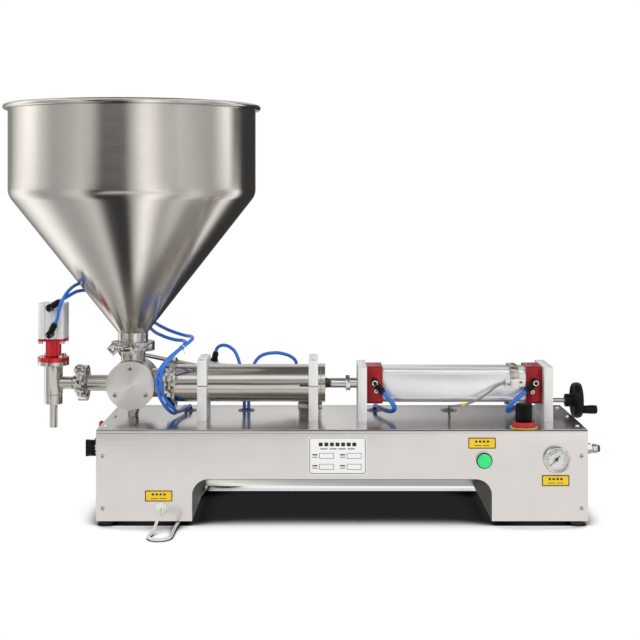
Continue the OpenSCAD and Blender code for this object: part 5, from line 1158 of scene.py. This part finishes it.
@dataclass
class Pneumatics:
    """Hoses, their fittings, a tie and the sensor's lead. Routes repeat the CAD's, in millimetres."""
    shop: Workshop
    routes: tuple = (
        ((-494.4, -34.5, 318), (-490.5, -34.5, 326.1), (-487, -38, 334), (-484, -44, 344), (-481, -47, 354),
         (-476, -45, 366), (-470, -34, 378), (-464, -12, 386), (-458, 18, 389), (-448, 52, 387), (-426, 82, 378),
         (-394, 94, 360), (-360, 86, 338), (-334, 60, 318), (-308, 36, 307), (-284, 16, 301), (-270, 2, 299),
         (-258.5, -14, 299), (-257, -28, 295.5), (-265, -40, 289), (-277, -50, 280), (-288.5, -59, 269),
         (-300, -64.5, 255), (-305.5, -63.5, 240), (-307, -59, 226), (-306, -54.5, 214), (-302.5, -49.5, 201),
         (-297, -45, 190), (-290, -36, 180), (-283, -16, 169.5), (-277.5, 10, 167.5), (-272.5, 40, 168),
         (-268.5, 62, 167), (-268, 68, 156), (-268, 68, 140)),
        ((-488.4, -34.5, 358.7), (-480.9, -34.5, 363.6), (-472, -32, 369), (-464, -22, 374), (-458, -4, 377),
         (-450, 28, 376), (-429, 58, 370), (-398, 80, 355), (-364, 80, 336), (-336, 46, 306), (-314, 24, 296.5),
         (-291, 4, 292), (-275, -12, 292), (-268.5, -25, 290.5), (-272.5, -38, 284.5), (-283.5, -48, 275),
         (-296, -57.5, 264), (-307, -63, 250), (-312.3, -61, 238), (-313.8, -57, 225), (-312.5, -54, 212),
         (-309, -50, 198.5), (-303, -44, 186), (-296, -34, 174.5), (-290, -14, 166), (-285, 10, 165),
         (-280, 40, 166), (-276.5, 62, 166), (-276, 68, 156), (-276, 68, 140)),
        ((-225.6, 92, 255.5), (-223.8, 92, 264.3), (-219, 91, 270), (-210, 88, 272.5), (-200, 85, 270),
         (-189, 80, 261), (-181, 75, 242), (-175, 70, 214), (-172, 68, 180), (-172, 68, 140)),
        ((-81.1, 92, 226.1), (-79.3, 92, 234.9), (-80, 91, 243), (-86, 89, 250), (-96, 86, 255.5),
         (-114, 82, 259.5), (-135, 78, 257.5), (-148, 76, 250), (-156, 73, 236), (-162, 69, 210), (-164, 68, 180),
         (-164, 68, 140)),
        ((67.8, -43, 211.9), (73.8, -43, 205.2), (80.5, -43.5, 197.5), (87.5, -44, 188.5), (91.5, -42, 180.5),
         (90.5, -34, 174.5), (85, -20, 170.5), (77, 2, 169), (68, 34, 168.5), (63, 57, 168), (62, 67, 160),
         (62, 68, 150), (62, 68, 140)),
        ((321.6, -43, 213), (314.9, -43, 206.9), (304, -45, 199), (293, -48, 189.5), (286, -46, 181),
         (286, -34, 173.5), (294, -8, 169.5), (308, 30, 168.5), (320, 55, 168), (325, 67, 160), (325, 68, 150),
         (325, 68, 140)))
    lead: tuple = ((288.5, -36.1, 222), (279, -36.5, 221.5), (265, -40, 215.5), (250, -43, 204.5), (233, -44, 194),
                   (216, -43, 187), (204, -42, 184.5), (193, -38, 182.5), (188, -24, 180), (189, 0, 176),
                   (192, 30, 171), (195, 52, 168), (195, 66, 164), (195, 68, 154), (195, 68, 142))
    radii: tuple = (3.0, 3.0, 3.0, 3.0, 4.0, 4.0)
    lead_r: float = 2.0
    marker_r: float = 2.9
    marked: tuple[float, float, float] = (204.0, 216.0, 183.0)  # the marker's two ends in x, and a height below it

    def build(self) -> None:
        """Makes the hoses, dresses the fittings and lays the lead."""
        tubes = [tube(spline(list(route), 8), radius, 16) for route, radius in zip(self.routes, self.radii)]
        self.shop.make("blue_hoses", tubes, BLUE_HOSE, replaces=("air_hoses",))
        self.shop.dress("push_in_fittings", BLACK_PLASTIC, 0.3)
        self.nuts()
        self.tie()
        path = spline(list(self.lead), 6)
        lead = self.shop.make("sensor_cable", [tube(path, self.lead_r, 12)], GREY_SHEATH, body=None,
                              replaces=("sensor_lead",))
        near, far, floor = self.marked
        wrap = tube(path[(near < path[:, 0]) & (path[:, 0] < far) & (path[:, 2] > floor)], self.marker_r, 12)
        marker = self.shop.make("lead_marker", [wrap], YELLOW_FILM, body=None)
        for piece in (lead, marker):
            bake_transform(piece)

    def nuts(self) -> None:
        """Plated hexagon nuts that hold the elbows, rings round the hoses' ends, and the caps' cushion screws,
        with a dark disc of painted shade in each screw's socket.
        """
        plated, slots = [], []
        for x, y, z in ((57.75, -32, 223), (332.75, -32, 223), (NOZZLE_X, -22, 302.4), (NOZZLE_X, -22, 348.4)):
            head = [(0, -18.0), (2.6, -18.0), (2.8, -18.9), (5.0, -19.1), (5.6, -18.4), (5.6, -16.6), (0, -16.6)]
            plated.append(turned(head, (x, y, z), Axis.Y, 6))
        for x, z in ((60.7, 206.9), (329.7, 205.6)):
            screw = [(1.6, -0.2), (1.8, -1.3), (3.2, -1.3), (3.5, -0.9), (3.5, 0.6)]
            plated.append(turned(screw, (x, -32, z), Axis.Y, 24))
            # a dark disc in each screw's socket is painted shade
            slots.append(turned([(0, -0.5), (1.7, -0.5)], (x, -32, z), Axis.Y, 16))
        self.shop.make("fitting_nuts", plated, CHROME, crease=25)
        self.shop.make("cushion_screw_shade", slots, INK_AND_SHADE)
        collars = []
        for route, radius in zip(self.routes, self.radii):
            start, then = np.array(route[:2], float)
            line = start + unit(then - start) * np.linspace(2.0, 5.0, 4)[:, None]
            collars.append(tube(line, radius + np.array([0.9, 1.5, 1.5, 0.9]), 20))
        self.shop.make("hose_release_rings", collars, BLUE_PLASTIC)

    def tie(self) -> None:
        """A white tie round the two hoses of the bundle: an ellipse about both, square to them."""
        first, second = (spline(list(self.routes[k]), 8) for k in (0, 1))
        spot = np.array([-272.0, -45.0, 284.0])
        a = first[np.argmin(np.linalg.norm(first - spot, axis=1))]
        b = second[np.argmin(np.linalg.norm(second - a, axis=1))]
        near = np.argmin(np.linalg.norm(first - a, axis=1))
        across, heading = unit(b - a), unit(first[near + 1] - first[near - 1])
        up = unit(np.cross(heading, across))
        t = np.linspace(0, 2 * np.pi, 41)[:, None]
        wide = np.linalg.norm(b - a) / 2 + 3.6
        loop = (a + b) / 2 + wide * np.cos(t) * across + 3.7 * np.sin(t) * up
        tail = np.linspace(loop[10], loop[10] + up * 9 + across * 3, 4)
        self.shop.make("hose_tie", [tube(loop, 0.8, 8), tube(tail, 0.7, 8)], WHITE_PLASTIC)


def main() -> None:
    """Builds the camera, the cable and then each sub-assembly."""
    logging.basicConfig(level=logging.INFO, format="%(message)s")
    Studio().build()
    shop = Workshop()
    for part in (FootCable, Case, Controls, Hopper, Barrel, Valve, Nozzle, AirCylinder, Pneumatics):
        part(shop).build()
        log.info("built %s", part.__name__)


if __name__ == "__main__":
    main()
